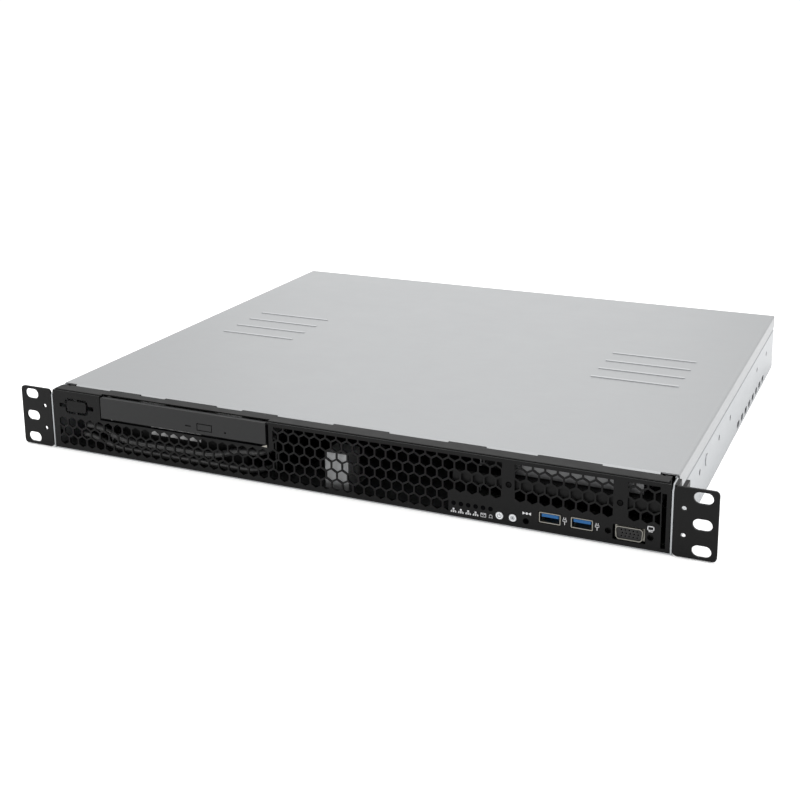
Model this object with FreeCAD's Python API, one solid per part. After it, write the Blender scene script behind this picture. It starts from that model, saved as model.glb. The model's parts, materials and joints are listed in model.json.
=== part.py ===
import FreeCAD, Part
import math
import os

# Rack server, one unit high, short depth. Millimetres. X runs to the right as seen from
# the front, Y runs back, Z runs up. Inside this file depths are counted back from the front
# face of the rack ears and heights from the underside of the floor. save() then moves every
# piece so that the origin lies under the middle of the whole machine.

V = FreeCAD.Vector

# ---------------------------------------------------------------- driving dimensions
RACK_WIDTH = 482.6          # over the rack ears, the 19-inch rack standard
BODY_HALF = 216.0           # half the width over the side walls
DEPTH = 382.0               # ear face to the rear edge of the cover
SCREW_PROUD = 5.0           # thumb screw heads stand this far behind the cover's lip
OVERALL_DEPTH = DEPTH + SCREW_PROUD
COVER_TOP = 43.0
SHEET = 1.0                 # steel sheet of the floor, walls, panels
SKIN = 0.8                  # thinner sheet of the cover and the top rail
FLOOR = SHEET
COVER_UNDER = COVER_TOP - SKIN
SEAM_Z = 33.0               # lower edge of the cover's skirts
RAIL_REAR = 11.6            # rear edge of the black top rail, between its tabs
TAB_REAR = 13.6
RAIL_TABS = [(-175.0, -150.0), (-130.0, -90.0), (-70.0, -44.0), (-3.0, 35.5), (75.5, 100.0), (132.5, 171.5)]
WALL_END = 380.6

PANEL_FRONT = 0.4
PANEL_BACK = PANEL_FRONT + SHEET
PANEL_HALF = 214.5
PANEL_TOP = 42.5

UNIT_HOLE_PITCH = 15.875    # rack hole pitch inside one unit
EAR_Z = 21.45               # middle of the ears
EAR_HEIGHT = 42.0
EAR_PLATE = 1.5
EAR_INNER = 216.3
SLOT_X = 232.55
SLOT_LENGTH = 11.0
SLOT_WIDTH = 7.0
EAR_PIN_X = 222.0
EAR_PIN_R = 1.4
EAR_LEG_BACK = 11.5
EAR_SCREW_Y = 6.5
EAR_SCREW_Z = (10.0, 29.0)

HEX_PITCH = 7.56
HEX_FLATS = 6.5
HEX_ROW = 6.62
HEX_ROW0_Z = 7.25
HEX_PHASE_X = 20.0          # one hole of the even rows stands here
HEX_TOP_CUT = 40.15

DRIVE_X = (-174.2, -45.6)   # the optical drive's bezel, left and right
DRIVE_Z = (27.3, 41.85)
CASE_X = (-173.8, -46.0)
CASE_Y = (6.0, 132.0)
CASE_Z = (27.6, 40.3)

POWER_AT = (113.0, 6.05)    # x and z of the buttons
LOCATE_AT = (121.3, 6.05)
RESET_AT = (129.7, 5.55)
BUTTON_R = 2.35
BUTTON_GAP = 0.3
BUTTON_TRAVEL = 1.0
RESET_TRAVEL = 0.4
SWITCH_Y = 9.2              # front faces of the tact switches
LED_X = [83.8 + 4.74 * k for k in range(6)]
LED_Z = 9.45
LED_R = 1.0

USB_LEFT_X = 144.25
USB_RIGHT_X = 163.6
USB_Z = 9.75
USB_W = 13.1
USB_H = 6.5
VGA_X = 191.4
VGA_Z = 8.6
JACK_X = (179.2, 203.7)
POST_X = (-6.8, 9.6)         # the post behind the intake, left and right

IO_BOARD_Z = 2.6            # underside of the small board behind the front connectors
BOARD_THICK = 1.6

FAN = 40.0
FAN_DEPTH = 28.0
FAN_BASE_Z = 1.8
FAN_Y = 150.0
FAN_X = (-20.0, 36.0)
AXLE_R = 1.55
AXLE_GAP = 0.05             # running clearance of the axles in their bores
HUB_SHAFT_R = 2.0

PSU_X = (-212.5, -131.0)
PSU_Y = (190.0, 379.5)
PSU_Z = (FLOOR, 40.5)
PSU_FAN_X = -190.5
PSU_FAN_SIZE = 37.0
INLET_X = -150.5
INLET_Z = 21.0

BOARD_X = (-110.0, 119.0)
BOARD_Y = (187.0, 378.0)
BOARD_Z = 7.0
BOARD_TOP = BOARD_Z + BOARD_THICK
CPU_X = 8.0
CPU_Y = 262.0
MEMORY_X = (64.0, 76.0)
RISER_X = 111.0

REAR_Y = 379.6              # front face of the rear panel
LAN_X = (-74.0, -56.0)
STACK_X = -36.0
REAR_VGA_X = 0.0
THUMB_X = (-121.5, 101.5)
THUMB_Z = 34.5
SLOT_COVER_X = (122.0, 204.0)
SLOT_COVER_Z = (20.0, 38.0)

RIB_Y = [169.7 + 19.9 * k for k in range(4)]
RIB_X = 151.0
RIB_LENGTH = 62.4
RIB_HEIGHT = 0.5


# ---------------------------------------------------------------- shape helpers
def box(x0, x1, y0, y1, z0, z1):
    """A block between two corners."""
    return Part.makeBox(x1 - x0, y1 - y0, z1 - z0, V(x0, y0, z0))


def rod(axis, radius, start, length):
    """A cylinder from a start point along the x, y or z axis."""
    way = {"x": V(1, 0, 0), "y": V(0, 1, 0), "z": V(0, 0, 1)}[axis]
    return Part.makeCylinder(radius, length, V(*start), way)


def place(plane, a, b, level):
    """A point given by two coordinates in a plane and the third as the level."""
    if plane == "xz":
        return V(a, level, b)
    if plane == "xy":
        return V(a, b, level)
    return V(level, a, b)


def outline(points, plane, level, radius=0.0):
    """A closed wire through the points, its corners rounded where a radius is given."""
    corners = [place(plane, a, b, level) for a, b in points]
    if radius <= 0.0:
        return Part.makePolygon(corners + [corners[0]])
    count = len(corners)
    arcs = []
    for i in range(count):
        here = corners[i]
        back = (corners[i - 1] - here).normalize()
        ahead = (corners[(i + 1) % count] - here).normalize()
        half = back.getAngle(ahead) / 2.0
        reach = radius / math.tan(half)
        middle = (back + ahead).normalize()
        centre = here + middle * (radius / math.sin(half))
        arcs.append((here + back * reach, centre - middle * radius, here + ahead * reach))
    edges = []
    for i in range(count):
        leave = arcs[i - 1][2]
        start, crown, end = arcs[i]
        if leave.distanceToPoint(start) > 1e-4:
            edges.append(Part.LineSegment(leave, start).toShape())
        edges.append(Part.Arc(start, crown, end).toShape())
    return Part.Wire(Part.__sortEdges__(edges))


def plate(points, plane, level, thick, holes=(), radius=0.0):
    """A flat sheet with holes: each hole is a closed wire in the same plane."""
    face = Part.Face([outline(points, plane, level, radius)] + list(holes))
    face.validate()
    way = {"xz": V(0, thick, 0), "xy": V(0, 0, thick), "yz": V(thick, 0, 0)}[plane]
    return face.extrude(way)


def rectangle(a0, a1, b0, b1):
    """The four corners of a rectangle."""
    return [(a0, b0), (a1, b0), (a1, b1), (a0, b1)]


def circle(plane, a, b, level, radius):
    """A round hole's wire."""
    way = {"xz": V(0, 1, 0), "xy": V(0, 0, 1), "yz": V(1, 0, 0)}[plane]
    return Part.Wire(Part.makeCircle(radius, place(plane, a, b, level), way))


def obround(plane, a, b, level, length, width):
    """A slot's wire: straight sides and round ends, its length along the first axis."""
    reach = (length - width) / 2.0
    r = width / 2.0
    p = [place(plane, a + s * reach, b + t * r, level) for s, t in ((-1, -1), (1, -1), (1, 1), (-1, 1))]
    right = place(plane, a + reach + r, b, level)
    left = place(plane, a - reach - r, b, level)
    edges = [Part.LineSegment(p[0], p[1]).toShape(),
             Part.Arc(p[1], right, p[2]).toShape(),
             Part.LineSegment(p[2], p[3]).toShape(),
             Part.Arc(p[3], left, p[0]).toShape()]
    return Part.Wire(edges)


def group(solids):
    """Several separate solids kept in one piece of the list."""
    return Part.makeCompound(solids)


def join(solids):
    """One solid out of several that touch or overlap."""
    whole = solids[0].multiFuse(solids[1:])
    return whole.removeSplitter()


def d_corners(x, z, width, height, slant=10.0):
    """Corners of a D-shaped connector outline, wider at the top."""
    lean = height * math.tan(math.radians(slant)) / 2.0
    half = width / 2.0
    return [(x - half + lean, z - height / 2.0), (x + half - lean, z - height / 2.0),
            (x + half, z + height / 2.0), (x - half, z + height / 2.0)]


def corner_spots(a, b, reach):
    """Four points around a centre, one towards each corner."""
    return [(a + sa * reach, b + sb * reach) for sa in (-1, 1) for sb in (-1, 1)]


# ---------------------------------------------------------------- hexagonal perforation
def hexagon(x, z):
    """Corners of one hole, its flats upright."""
    r = HEX_FLATS / math.sqrt(3.0)
    turns = [math.radians(30 + 60 * k) for k in range(6)]
    return [(x + r * math.cos(t), z + r * math.sin(t)) for t in turns]


def trim(points, side, limit, keep_above):
    """Cut a polygon along a straight line and keep one side of it."""
    def inside(p):
        return p[side] >= limit if keep_above else p[side] <= limit
    kept = []
    for i, here in enumerate(points):
        before = points[i - 1]
        if inside(here) != inside(before):
            t = (limit - before[side]) / (here[side] - before[side])
            kept.append(tuple(before[k] + t * (here[k] - before[k]) for k in (0, 1)))
        if inside(here):
            kept.append(here)
    return kept


def hex_field(x0, x1, rows, top=HEX_TOP_CUT, smallest=1.2):
    """Hole outlines of whole rows between two upright lines, cut where they cross them."""
    holes = []
    for row in rows:
        z = HEX_ROW0_Z + HEX_ROW * row
        shift = 0.0 if row % 2 == 0 else -HEX_PITCH / 2.0
        first = math.ceil((x0 - HEX_PITCH - HEX_PHASE_X - shift) / HEX_PITCH)
        last = math.floor((x1 + HEX_PITCH - HEX_PHASE_X - shift) / HEX_PITCH)
        for k in range(first, last + 1):
            points = hexagon(HEX_PHASE_X + shift + HEX_PITCH * k, z)
            points = trim(points, 0, x0, True)
            points = trim(points, 0, x1, False)
            points = trim(points, 1, top, False) if points else points
            if len(points) < 3:
                continue
            if max(p[0] for p in points) - min(p[0] for p in points) > smallest:
                holes.append(points)
    return holes


# ---------------------------------------------------------------- chassis
def side_features():
    """Rail holes, low vent slots and ear screw holes, as solids to cut from the right wall."""
    start = BODY_HALF - 5.0
    span = 10.0
    cuts = [rod("x", 2.0, (start, y, 21.5), span) for y in (76.0, 140.0, 181.0, 297.0, 343.0)]
    for y in [218.0 + 16.0 * k for k in range(8)]:
        cuts.append(Part.Face(obround("yz", y, 4.4, start, 9.5, 4.8)).extrude(V(span, 0, 0)))
    cuts += [rod("x", 1.6, (start, EAR_SCREW_Y, z), span) for z in EAR_SCREW_Z]
    return cuts


def chassis_floor():
    """Flat floor sheet, welded to the foot of both side walls."""
    return box(-BODY_HALF + SHEET, BODY_HALF - SHEET, 0.9, WALL_END, 0.0, SHEET)


def side_wall(side):
    """One side wall: its upper part stands back by the thickness of the cover's skirt."""
    w = BODY_HALF
    t = SHEET
    inset = w - SKIN - 0.4
    section = [(w - t, 0.0), (w, 0.0), (w, SEAM_Z - 1.6), (inset, SEAM_Z - 0.4), (inset, 42.0),
               (inset - t, 42.0), (inset - t, SEAM_Z - 0.8), (w - t, SEAM_Z - 2.0)]
    nose = [(0.4, 0.0), (12.4, 0.0), (12.4, 42.2), (3.6, 42.2), (0.4, 39.0)]
    wall = join([plate(section, "xz", 13.2, WALL_END - 13.2),
                 plate(nose, "yz", w - t, t),
                 box(w - t, w, 12.0, 13.6, 0.0, SEAM_Z - 2.2),
                 rod("x", 4.0, (w - 0.2, 97.0, 22.0), 0.7)])
    wall = wall.cut(side_features())
    return wall if side > 0 else wall.mirror(V(0, 0, 0), V(1, 0, 0))


def rear_vents():
    """Whole vent holes of the rear panel, left clear of the sockets and the cover's screws."""
    holes = []
    for x0, x1, rows in ((-104.0, STACK_X - 9.0, (3,)), (STACK_X + 9.0, 90.0, (3,)), (-104.0, 90.0, (4,)),
                         (30.0, 90.0, (0, 1, 2))):
        for p in hex_field(x0 - 1.0, x1 + 1.0, rows, 40.0):
            if x0 < min(q[0] for q in p) and max(q[0] for q in p) < x1:
                holes.append(p)
    return holes


def rear_panel():
    """Rear wall with its openings for the power supply, sockets and the card slot."""
    y = REAR_Y
    holes = [outline(rectangle(PSU_X[0] + 2, PSU_X[1] - 2, 3.0, 38.5), "xz", y, 1.0)]
    for x in LAN_X:
        holes.append(outline(rectangle(x - 8.3, x + 8.3, 8.4, 22.6), "xz", y))
    holes.append(outline(rectangle(STACK_X - 7.2, STACK_X + 7.2, 8.4, 24.4), "xz", y))
    holes.append(outline(rectangle(REAR_VGA_X - 16.0, REAR_VGA_X + 16.0, 8.4, 21.8), "xz", y, 1.0))
    holes.append(outline(rectangle(SLOT_COVER_X[0] + 3, SLOT_COVER_X[1] - 3,
                                   SLOT_COVER_Z[0] + 2, SLOT_COVER_Z[1] - 2), "xz", y, 1.0))
    for x in THUMB_X:
        holes.append(circle("xz", x, THUMB_Z, y, 2.1))
    holes += [outline(p, "xz", y) for p in rear_vents()]
    face = plate(rectangle(-213.7, 213.7, FLOOR, 40.8), "xz", y, SHEET, holes)
    foot = box(-213.7, 213.7, y - 8.0, y + 0.2, FLOOR, FLOOR + SHEET)
    foot = foot.cut(box(PSU_X[0] - 2, PSU_X[1] + 2, y - 9, y - 0.05, 0, 5))
    return join([face, foot])


def knock_out_cuts():
    """Two C-shaped cuts that leave the serial port's blank on small bridges."""
    outer = outline(d_corners(-194.9, 32.3, 19.8, 11.0, 8.0), "xz", 0.0, 2.8)
    inner = outline(d_corners(-194.9, 32.3, 16.4, 7.6, 8.0), "xz", 0.0, 1.6)
    ring = Part.Face([outer]).extrude(V(0, 3, 0)).cut(Part.Face([inner]).extrude(V(0, 3, 0)))
    ring = ring.cut(box(-195.6, -194.2, -1, 4, 20, 45))
    left = box(-209.2, -203.2, 0, 3, 30.9, 33.6)
    right = box(-186.6, -180.6, 0, 3, 30.8, 33.9)
    return [ring, left, right]


def front_panel():
    """Black front sheet: hexagonal air intake, drive notch, port, lamp and button holes."""
    y = PANEL_FRONT
    fields = hex_field(-210.0, 80.5, (0, 1)) + hex_field(-210.0, 114.5, (2,))
    fields += hex_field(-40.6, 114.5, (3, 4, 5))
    fields += hex_field(122.4, 181.6, (2, 3, 4, 5)) + hex_field(190.0, 208.8, (2, 3, 4, 5))
    holes = [outline(p, "xz", y) for p in fields]
    holes += [circle("xz", x, LED_Z, y, LED_R + 0.1) for x in LED_X]
    for at in (POWER_AT, LOCATE_AT):
        holes.append(circle("xz", at[0], at[1], y, BUTTON_R + BUTTON_GAP))
    holes.append(circle("xz", RESET_AT[0], RESET_AT[1], y, 1.4))
    for x in (USB_LEFT_X, USB_RIGHT_X):
        holes.append(outline(rectangle(x - 6.95, x + 6.95, USB_Z - 3.65, USB_Z + 3.65), "xz", y, 0.4))
    holes.append(outline(rectangle(VGA_X - 9.6, VGA_X + 9.6, VGA_Z - 4.7, VGA_Z + 4.7), "xz", y, 0.8))
    holes += [circle("xz", x, VGA_Z, y, 1.9) for x in JACK_X]
    holes.append(outline(rectangle(209.5, 212.2, 3.0, 36.4), "xz", y))
    holes += [circle("xz", x, 26.8, y, 1.55) for x in (118.7, 185.7)]
    top = PANEL_TOP
    gap = 1.0
    edge = [(-PANEL_HALF, FLOOR), (PANEL_HALF, FLOOR), (PANEL_HALF, top), (DRIVE_X[1] + gap, top),
            (DRIVE_X[1] + gap, DRIVE_Z[0] - gap), (DRIVE_X[0] - gap, DRIVE_Z[0] - gap),
            (DRIVE_X[0] - gap, top), (-PANEL_HALF, top)]
    sheet = plate(edge, "xz", y, SHEET, holes)
    sheet = sheet.cut(knock_out_cuts())
    foot = box(-PANEL_HALF, PANEL_HALF, PANEL_BACK - 0.2, 7.0, FLOOR, FLOOR + SHEET)
    return join([sheet, foot])


def front_top_rail():
    """Black strip along the front of the lid, with tabs that hold the cover's front edge."""
    z0 = COVER_UNDER
    z1 = COVER_TOP
    x0 = -213.6
    x1 = 212.6
    bend = [(2.0, 40.4), (2.0, z1 - 0.7), (2.2, z1 - 0.2), (2.7, z1),
            (4.8, z1), (4.8, z0), (2.8, z0), (2.8, 40.4)]
    parts = [box(x0, x1, 4.6, RAIL_REAR, z0, z1)]
    for a, b in ((x0, DRIVE_X[0] - 1.0), (DRIVE_X[1] + 1.0, x1)):
        parts.append(plate(bend, "yz", a, b - a))
    for a, b in RAIL_TABS:
        parts.append(box(a, b, RAIL_REAR - 0.2, TAB_REAR, z0, z1))
    for x in (x0, x1 - SKIN):
        parts.append(box(x, x + SKIN, 3.0, 10.0, 30.0, z0 + 0.1))
    for x in [-200.0, -185.0] + [-30.0 + 60.0 * k for k in range(5)]:
        parts.append(rod("y", 0.8, (x, PANEL_BACK, 41.4), 0.9))
    rail = join(parts)
    dots = [rod("z", 0.9, (x, RAIL_REAR - 0.3, z0 - 1), 3.0) for x in (-208.0, 208.0)]
    return rail.cut(dots)


def rack_ear(side):
    """One mounting ear: a plate with three rack slots and a leg along the side wall."""
    outer = RACK_WIDTH / 2.0
    z0 = EAR_Z - EAR_HEIGHT / 2.0
    z1 = EAR_Z + EAR_HEIGHT / 2.0
    slots = [EAR_Z + k * UNIT_HOLE_PITCH for k in (-1, 0, 1)]
    holes = [obround("xz", SLOT_X, z, 0.0, SLOT_LENGTH, SLOT_WIDTH) for z in slots]
    holes += [circle("xz", EAR_PIN_X, EAR_Z + dz, 0.0, EAR_PIN_R) for dz in (-7.9, 8.3)]
    face = plate(rectangle(EAR_INNER, outer, z0, z1), "xz", 0.0, EAR_PLATE, holes, 2.6)
    leg_top = z1 - 0.2 if side > 0 else z1 - 6.0
    leg = box(BODY_HALF, BODY_HALF + 2.0, EAR_PLATE, EAR_LEG_BACK, z0 + 0.6, leg_top)
    root = box(EAR_INNER + 0.1, BODY_HALF + 2.0, 0.6, EAR_PLATE + 0.5, z0 + 3.0, leg_top - 3.0)
    parts = [face, leg, root]
    if side > 0:
        parts.append(box(BODY_HALF + 4.4, BODY_HALF + 6.6, EAR_PLATE - 0.3, EAR_LEG_BACK, z1 - 4.4, z1 - 0.1))
    ear = join(parts)
    ear = ear.cut([rod("x", 1.6, (BODY_HALF - 1, EAR_SCREW_Y, z), 5.0) for z in EAR_SCREW_Z])
    return ear if side > 0 else ear.mirror(V(0, 0, 0), V(1, 0, 0))


def cross_head(axis, start, radius, height, shank_r, shank_length):
    """A small screw: domed head with a cross recess, and its shank."""
    head = rod("z", radius, (0, 0, 0), height)
    rim = [e for e in head.Edges if abs(e.CenterOfMass.z - height) < 1e-6]
    head = head.makeFillet(height * 0.45, rim)
    arm = radius * 0.55
    for a, b in ((arm, 0.28), (0.28, arm)):
        head = head.cut(box(-a, a, -b, b, height * 0.45, height + 1))
    screw = head.fuse(rod("z", shank_r, (0, 0, -shank_length), shank_length + 0.2)).removeSplitter()
    turn = {"z": FreeCAD.Rotation(), "-z": FreeCAD.Rotation(V(1, 0, 0), 180),
            "x": FreeCAD.Rotation(V(0, 1, 0), 90), "-x": FreeCAD.Rotation(V(0, 1, 0), -90),
            "-y": FreeCAD.Rotation(V(1, 0, 0), 90), "y": FreeCAD.Rotation(V(1, 0, 0), -90)}[axis]
    screw.Placement = FreeCAD.Placement(V(*start), turn)
    return screw


def ear_screws():
    """Four screws that hold the ears' legs to the side walls."""
    reach = BODY_HALF + 2.0
    screws = [cross_head("x", (reach, EAR_SCREW_Y, z), 2.6, 1.5, 1.4, 4.0) for z in EAR_SCREW_Z]
    screws += [cross_head("-x", (-reach, EAR_SCREW_Y, z), 2.6, 1.5, 1.4, 4.0) for z in EAR_SCREW_Z]
    return group(screws)


def panel_screws():
    """Two small screws that hold the brace behind the front panel."""
    return group([cross_head("-y", (x, 1.2, 26.8), 1.4, 0.7, 1.0, 4.0) for x in (118.7, 185.7)])


def front_brace():
    """Black stiffening strip close behind the front panel."""
    face = box(82.5, 209.0, 2.4, 3.4, 23.6, 30.6)
    shelf = box(82.5, 209.0, 3.2, 13.0, 29.6, 30.6)
    studs = [rod("y", 3.0, (x, PANEL_BACK, 26.8), 1.2) for x in (118.7, 185.7)]
    brace = join([face, shelf] + studs)
    return brace.cut([rod("y", 1.1, (x, 0, 26.8), 6.0) for x in (118.7, 185.7)])


def support_post():
    """Galvanised post behind the intake, a channel with a shelf that keeps leads off the floor."""
    x0, x1 = POST_X
    top = 26.0
    front = box(x0, x1, 7.4, 8.4, FLOOR, top)
    sides = [box(x, x + SHEET, 8.2, 24.0, FLOOR, top) for x in (x0, x1 - SHEET)]
    foot = box(x0, x1, 8.2, 34.0, FLOOR, FLOOR + SHEET)
    shelf = box(x0, x1, 8.0, 24.0, top - SHEET, top)
    post = join([front, foot, shelf] + sides)
    return post.cut(rod("z", 1.6, ((x0 + x1) / 2.0, 29.0, 0), 5.0))


# ---------------------------------------------------------------- front ports and buttons
def front_io_board():
    """Board behind the front connectors: on four pillars, with a header and three tact switches."""
    holes = [circle("xy", x, 24.0, IO_BOARD_Z, 1.6) for x in (82.0, 206.0)]
    board = plate(rectangle(78.0, 211.0, 5.0, 30.0), "xy", IO_BOARD_Z, BOARD_THICK, holes, 1.0)
    pillars = [rod("z", 2.2, (x, y, FLOOR), IO_BOARD_Z - FLOOR) for x in (100.0, 170.0) for y in (12.0, 26.0)]
    top = IO_BOARD_Z + BOARD_THICK - 0.1
    header = box(92.0, 112.0, 22.0, 27.0, top, top + 5.1)
    switches = [box(x - 3.0, x + 3.0, SWITCH_Y, SWITCH_Y + 3.4, top, top + 6.1)
                for x, z in (POWER_AT, LOCATE_AT, RESET_AT)]
    return join([board, header] + pillars + switches)


def push_button(at, radius):
    """A round push button with a collar behind the panel and a short stem."""
    x, z = at
    cap = rod("y", radius, (x, PANEL_FRONT + 0.1, z), 2.6)
    rim = [e for e in cap.Edges if abs(e.CenterOfMass.y - PANEL_FRONT - 0.1) < 1e-6]
    cap = cap.makeFillet(0.35, rim)
    collar = rod("y", radius + 0.9, (x, PANEL_BACK + 0.35, z), 0.9)
    stem = rod("y", 1.1, (x, PANEL_BACK + 1.0, z), SWITCH_Y - BUTTON_TRAVEL - 0.1 - PANEL_BACK - 1.0)
    return join([cap, collar, stem])


def reset_button():
    """The reset plunger behind its pin hole."""
    x, z = RESET_AT
    pin = rod("y", 1.0, (x, PANEL_FRONT + 0.7, z), SWITCH_Y - RESET_TRAVEL - 0.1 - PANEL_FRONT - 0.7)
    return join([pin, rod("y", 1.9, (x, PANEL_BACK + 0.35, z), 0.9)])


def light_pipes():
    """Six clear light pipes that end in the panel's lamp holes."""
    parts = []
    for x in LED_X:
        pipe = rod("y", LED_R, (x, PANEL_FRONT + 0.05, LED_Z), 7.0)
        leg = box(x - 0.9, x + 0.9, 6.0, 8.0, IO_BOARD_Z + BOARD_THICK, LED_Z)
        parts.append(join([pipe, leg]))
    return group(parts)


def usb_shell(x):
    """Metal shell of a USB socket, open at the front."""
    w = USB_W / 2.0
    h = USB_H / 2.0
    hole = [outline(rectangle(x - w + 0.5, x + w - 0.5, USB_Z - h + 0.5, USB_Z + h - 0.5), "xz", 0.5, 0.25)]
    tube = plate(rectangle(x - w, x + w, USB_Z - h, USB_Z + h), "xz", 0.5, 13.5, hole, 0.6)
    back = box(x - w + 0.3, x + w - 0.3, 13.2, 14.0, USB_Z - h + 0.3, USB_Z + h - 0.3)
    floor = IO_BOARD_Z + BOARD_THICK
    legs = [box(x + s * w - 0.4, x + s * w + 0.4, 8.0, 12.0, floor, USB_Z) for s in (-0.9, 0.9)]
    base = box(x - 5.5, x + 5.5, 5.0, 13.0, floor, USB_Z - h + 0.2)
    return join([tube, back, base] + legs)


def usb_shells():
    """The two front USB sockets."""
    return group([usb_shell(x) for x in (USB_LEFT_X, USB_RIGHT_X)])


def usb_tongues():
    """The blue contact tongues inside the two front USB sockets."""
    parts = []
    for x in (USB_LEFT_X, USB_RIGHT_X):
        z = USB_Z + 0.15
        tongue = box(x - 5.2, x + 5.2, 1.3, 13.2, z, z + 2.0)
        rib = box(x - 5.2, x + 5.2, 11.0, 13.2, z - 1.5, z + 0.1)
        parts.append(join([tongue, rib]))
    return group(parts)


def vga_shell():
    """Metal D-shaped shell and flange of the front monitor socket, with its jack nuts."""
    inner = d_corners(VGA_X, VGA_Z, 15.4, 7.0)
    ring = plate(d_corners(VGA_X, VGA_Z, 16.4, 8.0), "xz", 0.3, 5.0, [outline(inner, "xz", 0.3, 1.6)], 2.0)
    edge = rectangle(VGA_X - 15.4, VGA_X + 15.4, VGA_Z - 4.2, VGA_Z + 6.2)
    flange = plate(edge, "xz", 3.0, 0.8, [outline(inner, "xz", 3.0, 1.6)], 0.8)
    nuts = []
    for x in JACK_X:
        nut = Part.Face(outline(rectangle(x - 2.4, x + 2.4, VGA_Z - 2.4, VGA_Z + 2.4), "xz", 1.6, 1.0))
        nuts.append(nut.extrude(V(0, 1.6, 0)).cut(rod("y", 1.3, (x, 1.0, VGA_Z), 1.8)))
    return join([ring, flange] + nuts)


def vga_insert():
    """Insulator of the monitor socket, with fifteen pin holes in three rows."""
    front = plate(d_corners(VGA_X, VGA_Z, 15.4, 7.0), "xz", 1.0, 4.4, [], 1.6)
    back = box(VGA_X - 12.0, VGA_X + 12.0, 5.3, 16.0, IO_BOARD_Z + BOARD_THICK, VGA_Z + 4.6)
    pins = []
    for row, dz in enumerate((1.9, 0.0, -1.9)):
        for k in range(5):
            x = VGA_X + (k - 2) * 2.3 + (0.55 if row == 1 else 0.0)
            pins.append(rod("y", 0.42, (x, 0.5, VGA_Z + dz), 3.0))
    return join([front, back]).cut(pins)


# ---------------------------------------------------------------- optical drive
def drive_case():
    """Thin metal case of the optical drive, open to the front."""
    x0, x1 = CASE_X
    y0, y1 = CASE_Y
    z0, z1 = CASE_Z
    shell = box(x0, x1, y0, y1, z0, z1).cut(box(x0 + 0.8, x1 - 0.8, y0 - 1, y1 - 0.8, z0 + 0.8, z1 - 0.8))
    plug = box(x0 + 12, x0 + 34, y1 - 0.4, y1 + 4.0, z0 + 2, z0 + 6)
    return join([shell, plug])


def disc_tray():
    """Sliding tray with the disc's round recess, the spindle motor and the sled's opening."""
    x0 = CASE_X[0] + 1.6
    x1 = CASE_X[1] - 1.6
    y0 = 5.6
    y1 = 130.0
    z0 = CASE_Z[0] + 1.4
    z1 = CASE_Z[1] - 1.4
    middle = (x0 + x1) / 2.0
    slab = box(x0, x1, y0, y1, z0, z1)
    recess = rod("z", 60.5, (middle, 68.0, z0 + 2.6), 20.0)
    pan = rod("z", 21.0, (middle, 68.0, z0 + 1.2), 20.0)
    sled = box(middle - 10.0, middle + 10.0, 84.0, 122.0, z0 + 1.2, z1 + 1)
    motor = rod("z", 9.0, (middle, 68.0, z0 + 1.1), 1.9)
    bearing = rod("z", HUB_SHAFT_R + AXLE_GAP, (middle, 68.0, z0 + 1.2), 5.0)
    return join([slab.cut([recess, pan, sled]), motor]).cut(bearing)


def drive_bezel():
    """Flat front of the optical drive, with the eject button's opening and lamp window."""
    x0, x1 = DRIVE_X
    z0, z1 = DRIVE_Z
    face = plate(rectangle(x0, x1, z0, z1), "xz", 0.05, 3.2, [], 0.5)
    window = box(-106.3, -102.0, -1, 1.0, 31.4, 32.3)
    pin_hole = rod("y", 0.65, (-75.8, -1, 30.8), 8.0)
    well = box(-97.5, -85.7, -1, 2.6, 29.55, 34.6)
    guide = rod("y", 1.3, (-91.6, 1.2, 32.1), 4.2)
    arm = box(x0 + 4, x1 - 4, 3.0, 5.6, CASE_Z[0] + 1.4, CASE_Z[1] - 1.4)
    return join([face, arm]).cut([window, pin_hole, well, guide])


def eject_button():
    """Eject button of the optical drive, set in the bezel."""
    pad = plate(rectangle(-96.95, -86.25, 30.1, 34.05), "xz", 0.0, 1.3, [], 0.3)
    return join([pad, rod("y", 1.0, (-91.6, 1.2, 32.1), 3.0)])


def disc_hub():
    """Spindle hub that grips the disc, in the middle of the tray."""
    middle = (CASE_X[0] + CASE_X[1]) / 2.0
    z0 = CASE_Z[0] + 1.4
    table = rod("z", 15.0, (middle, 68.0, z0 + 3.4), 1.6)
    cap = rod("z", 7.3, (middle, 68.0, z0 + 4.8), 2.6)
    top = [e for e in cap.Edges if abs(e.CenterOfMass.z - z0 - 7.4) < 1e-6]
    cap = cap.makeFillet(1.0, top)
    shaft = rod("z", HUB_SHAFT_R, (middle, 68.0, z0 + 1.5), 2.2)
    grips = []
    for k in range(3):
        a = math.radians(120 * k + 90)
        grips.append(rod("z", 1.0, (middle + 6.9 * math.cos(a), 68.0 + 6.9 * math.sin(a), z0 + 4.8), 2.0))
    return join([table, cap, shaft] + grips)


# ---------------------------------------------------------------- hard disks
def disk(x0, y0, z0, height):
    """A 3.5-inch hard disk: cast body with a raised lid, a rear connector and lid screws."""
    w = 101.6
    d = 147.0
    body = plate(rectangle(x0, x0 + w, y0, y0 + d), "xy", z0, height - 2.0, [], 2.0)
    lid = plate(rectangle(x0 + 2.5, x0 + w - 2.5, y0 + 3, y0 + d - 12), "xy", z0 + height - 2.1, 2.1, [], 6.0)
    plug = box(x0 + 20, x0 + 62, y0 + d - 8, y0 + d + 0.6, z0 + 0.6, z0 + 5.4)
    parts = [body, lid, plug]
    for x in (x0 + 6, x0 + w - 6):
        for y in (y0 + 8, y0 + d / 2 - 5):
            parts.append(rod("z", 1.8, (x, y, z0 + height - 1.0), 1.2))
    return join(parts)


def disk_left():
    """Hard disk under the optical drive."""
    return disk(-171.0, 16.0, 4.2, 20.0)


def disk_right():
    """Hard disk behind the front ports."""
    return disk(88.4, 34.0, 12.6, 26.1)


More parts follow.
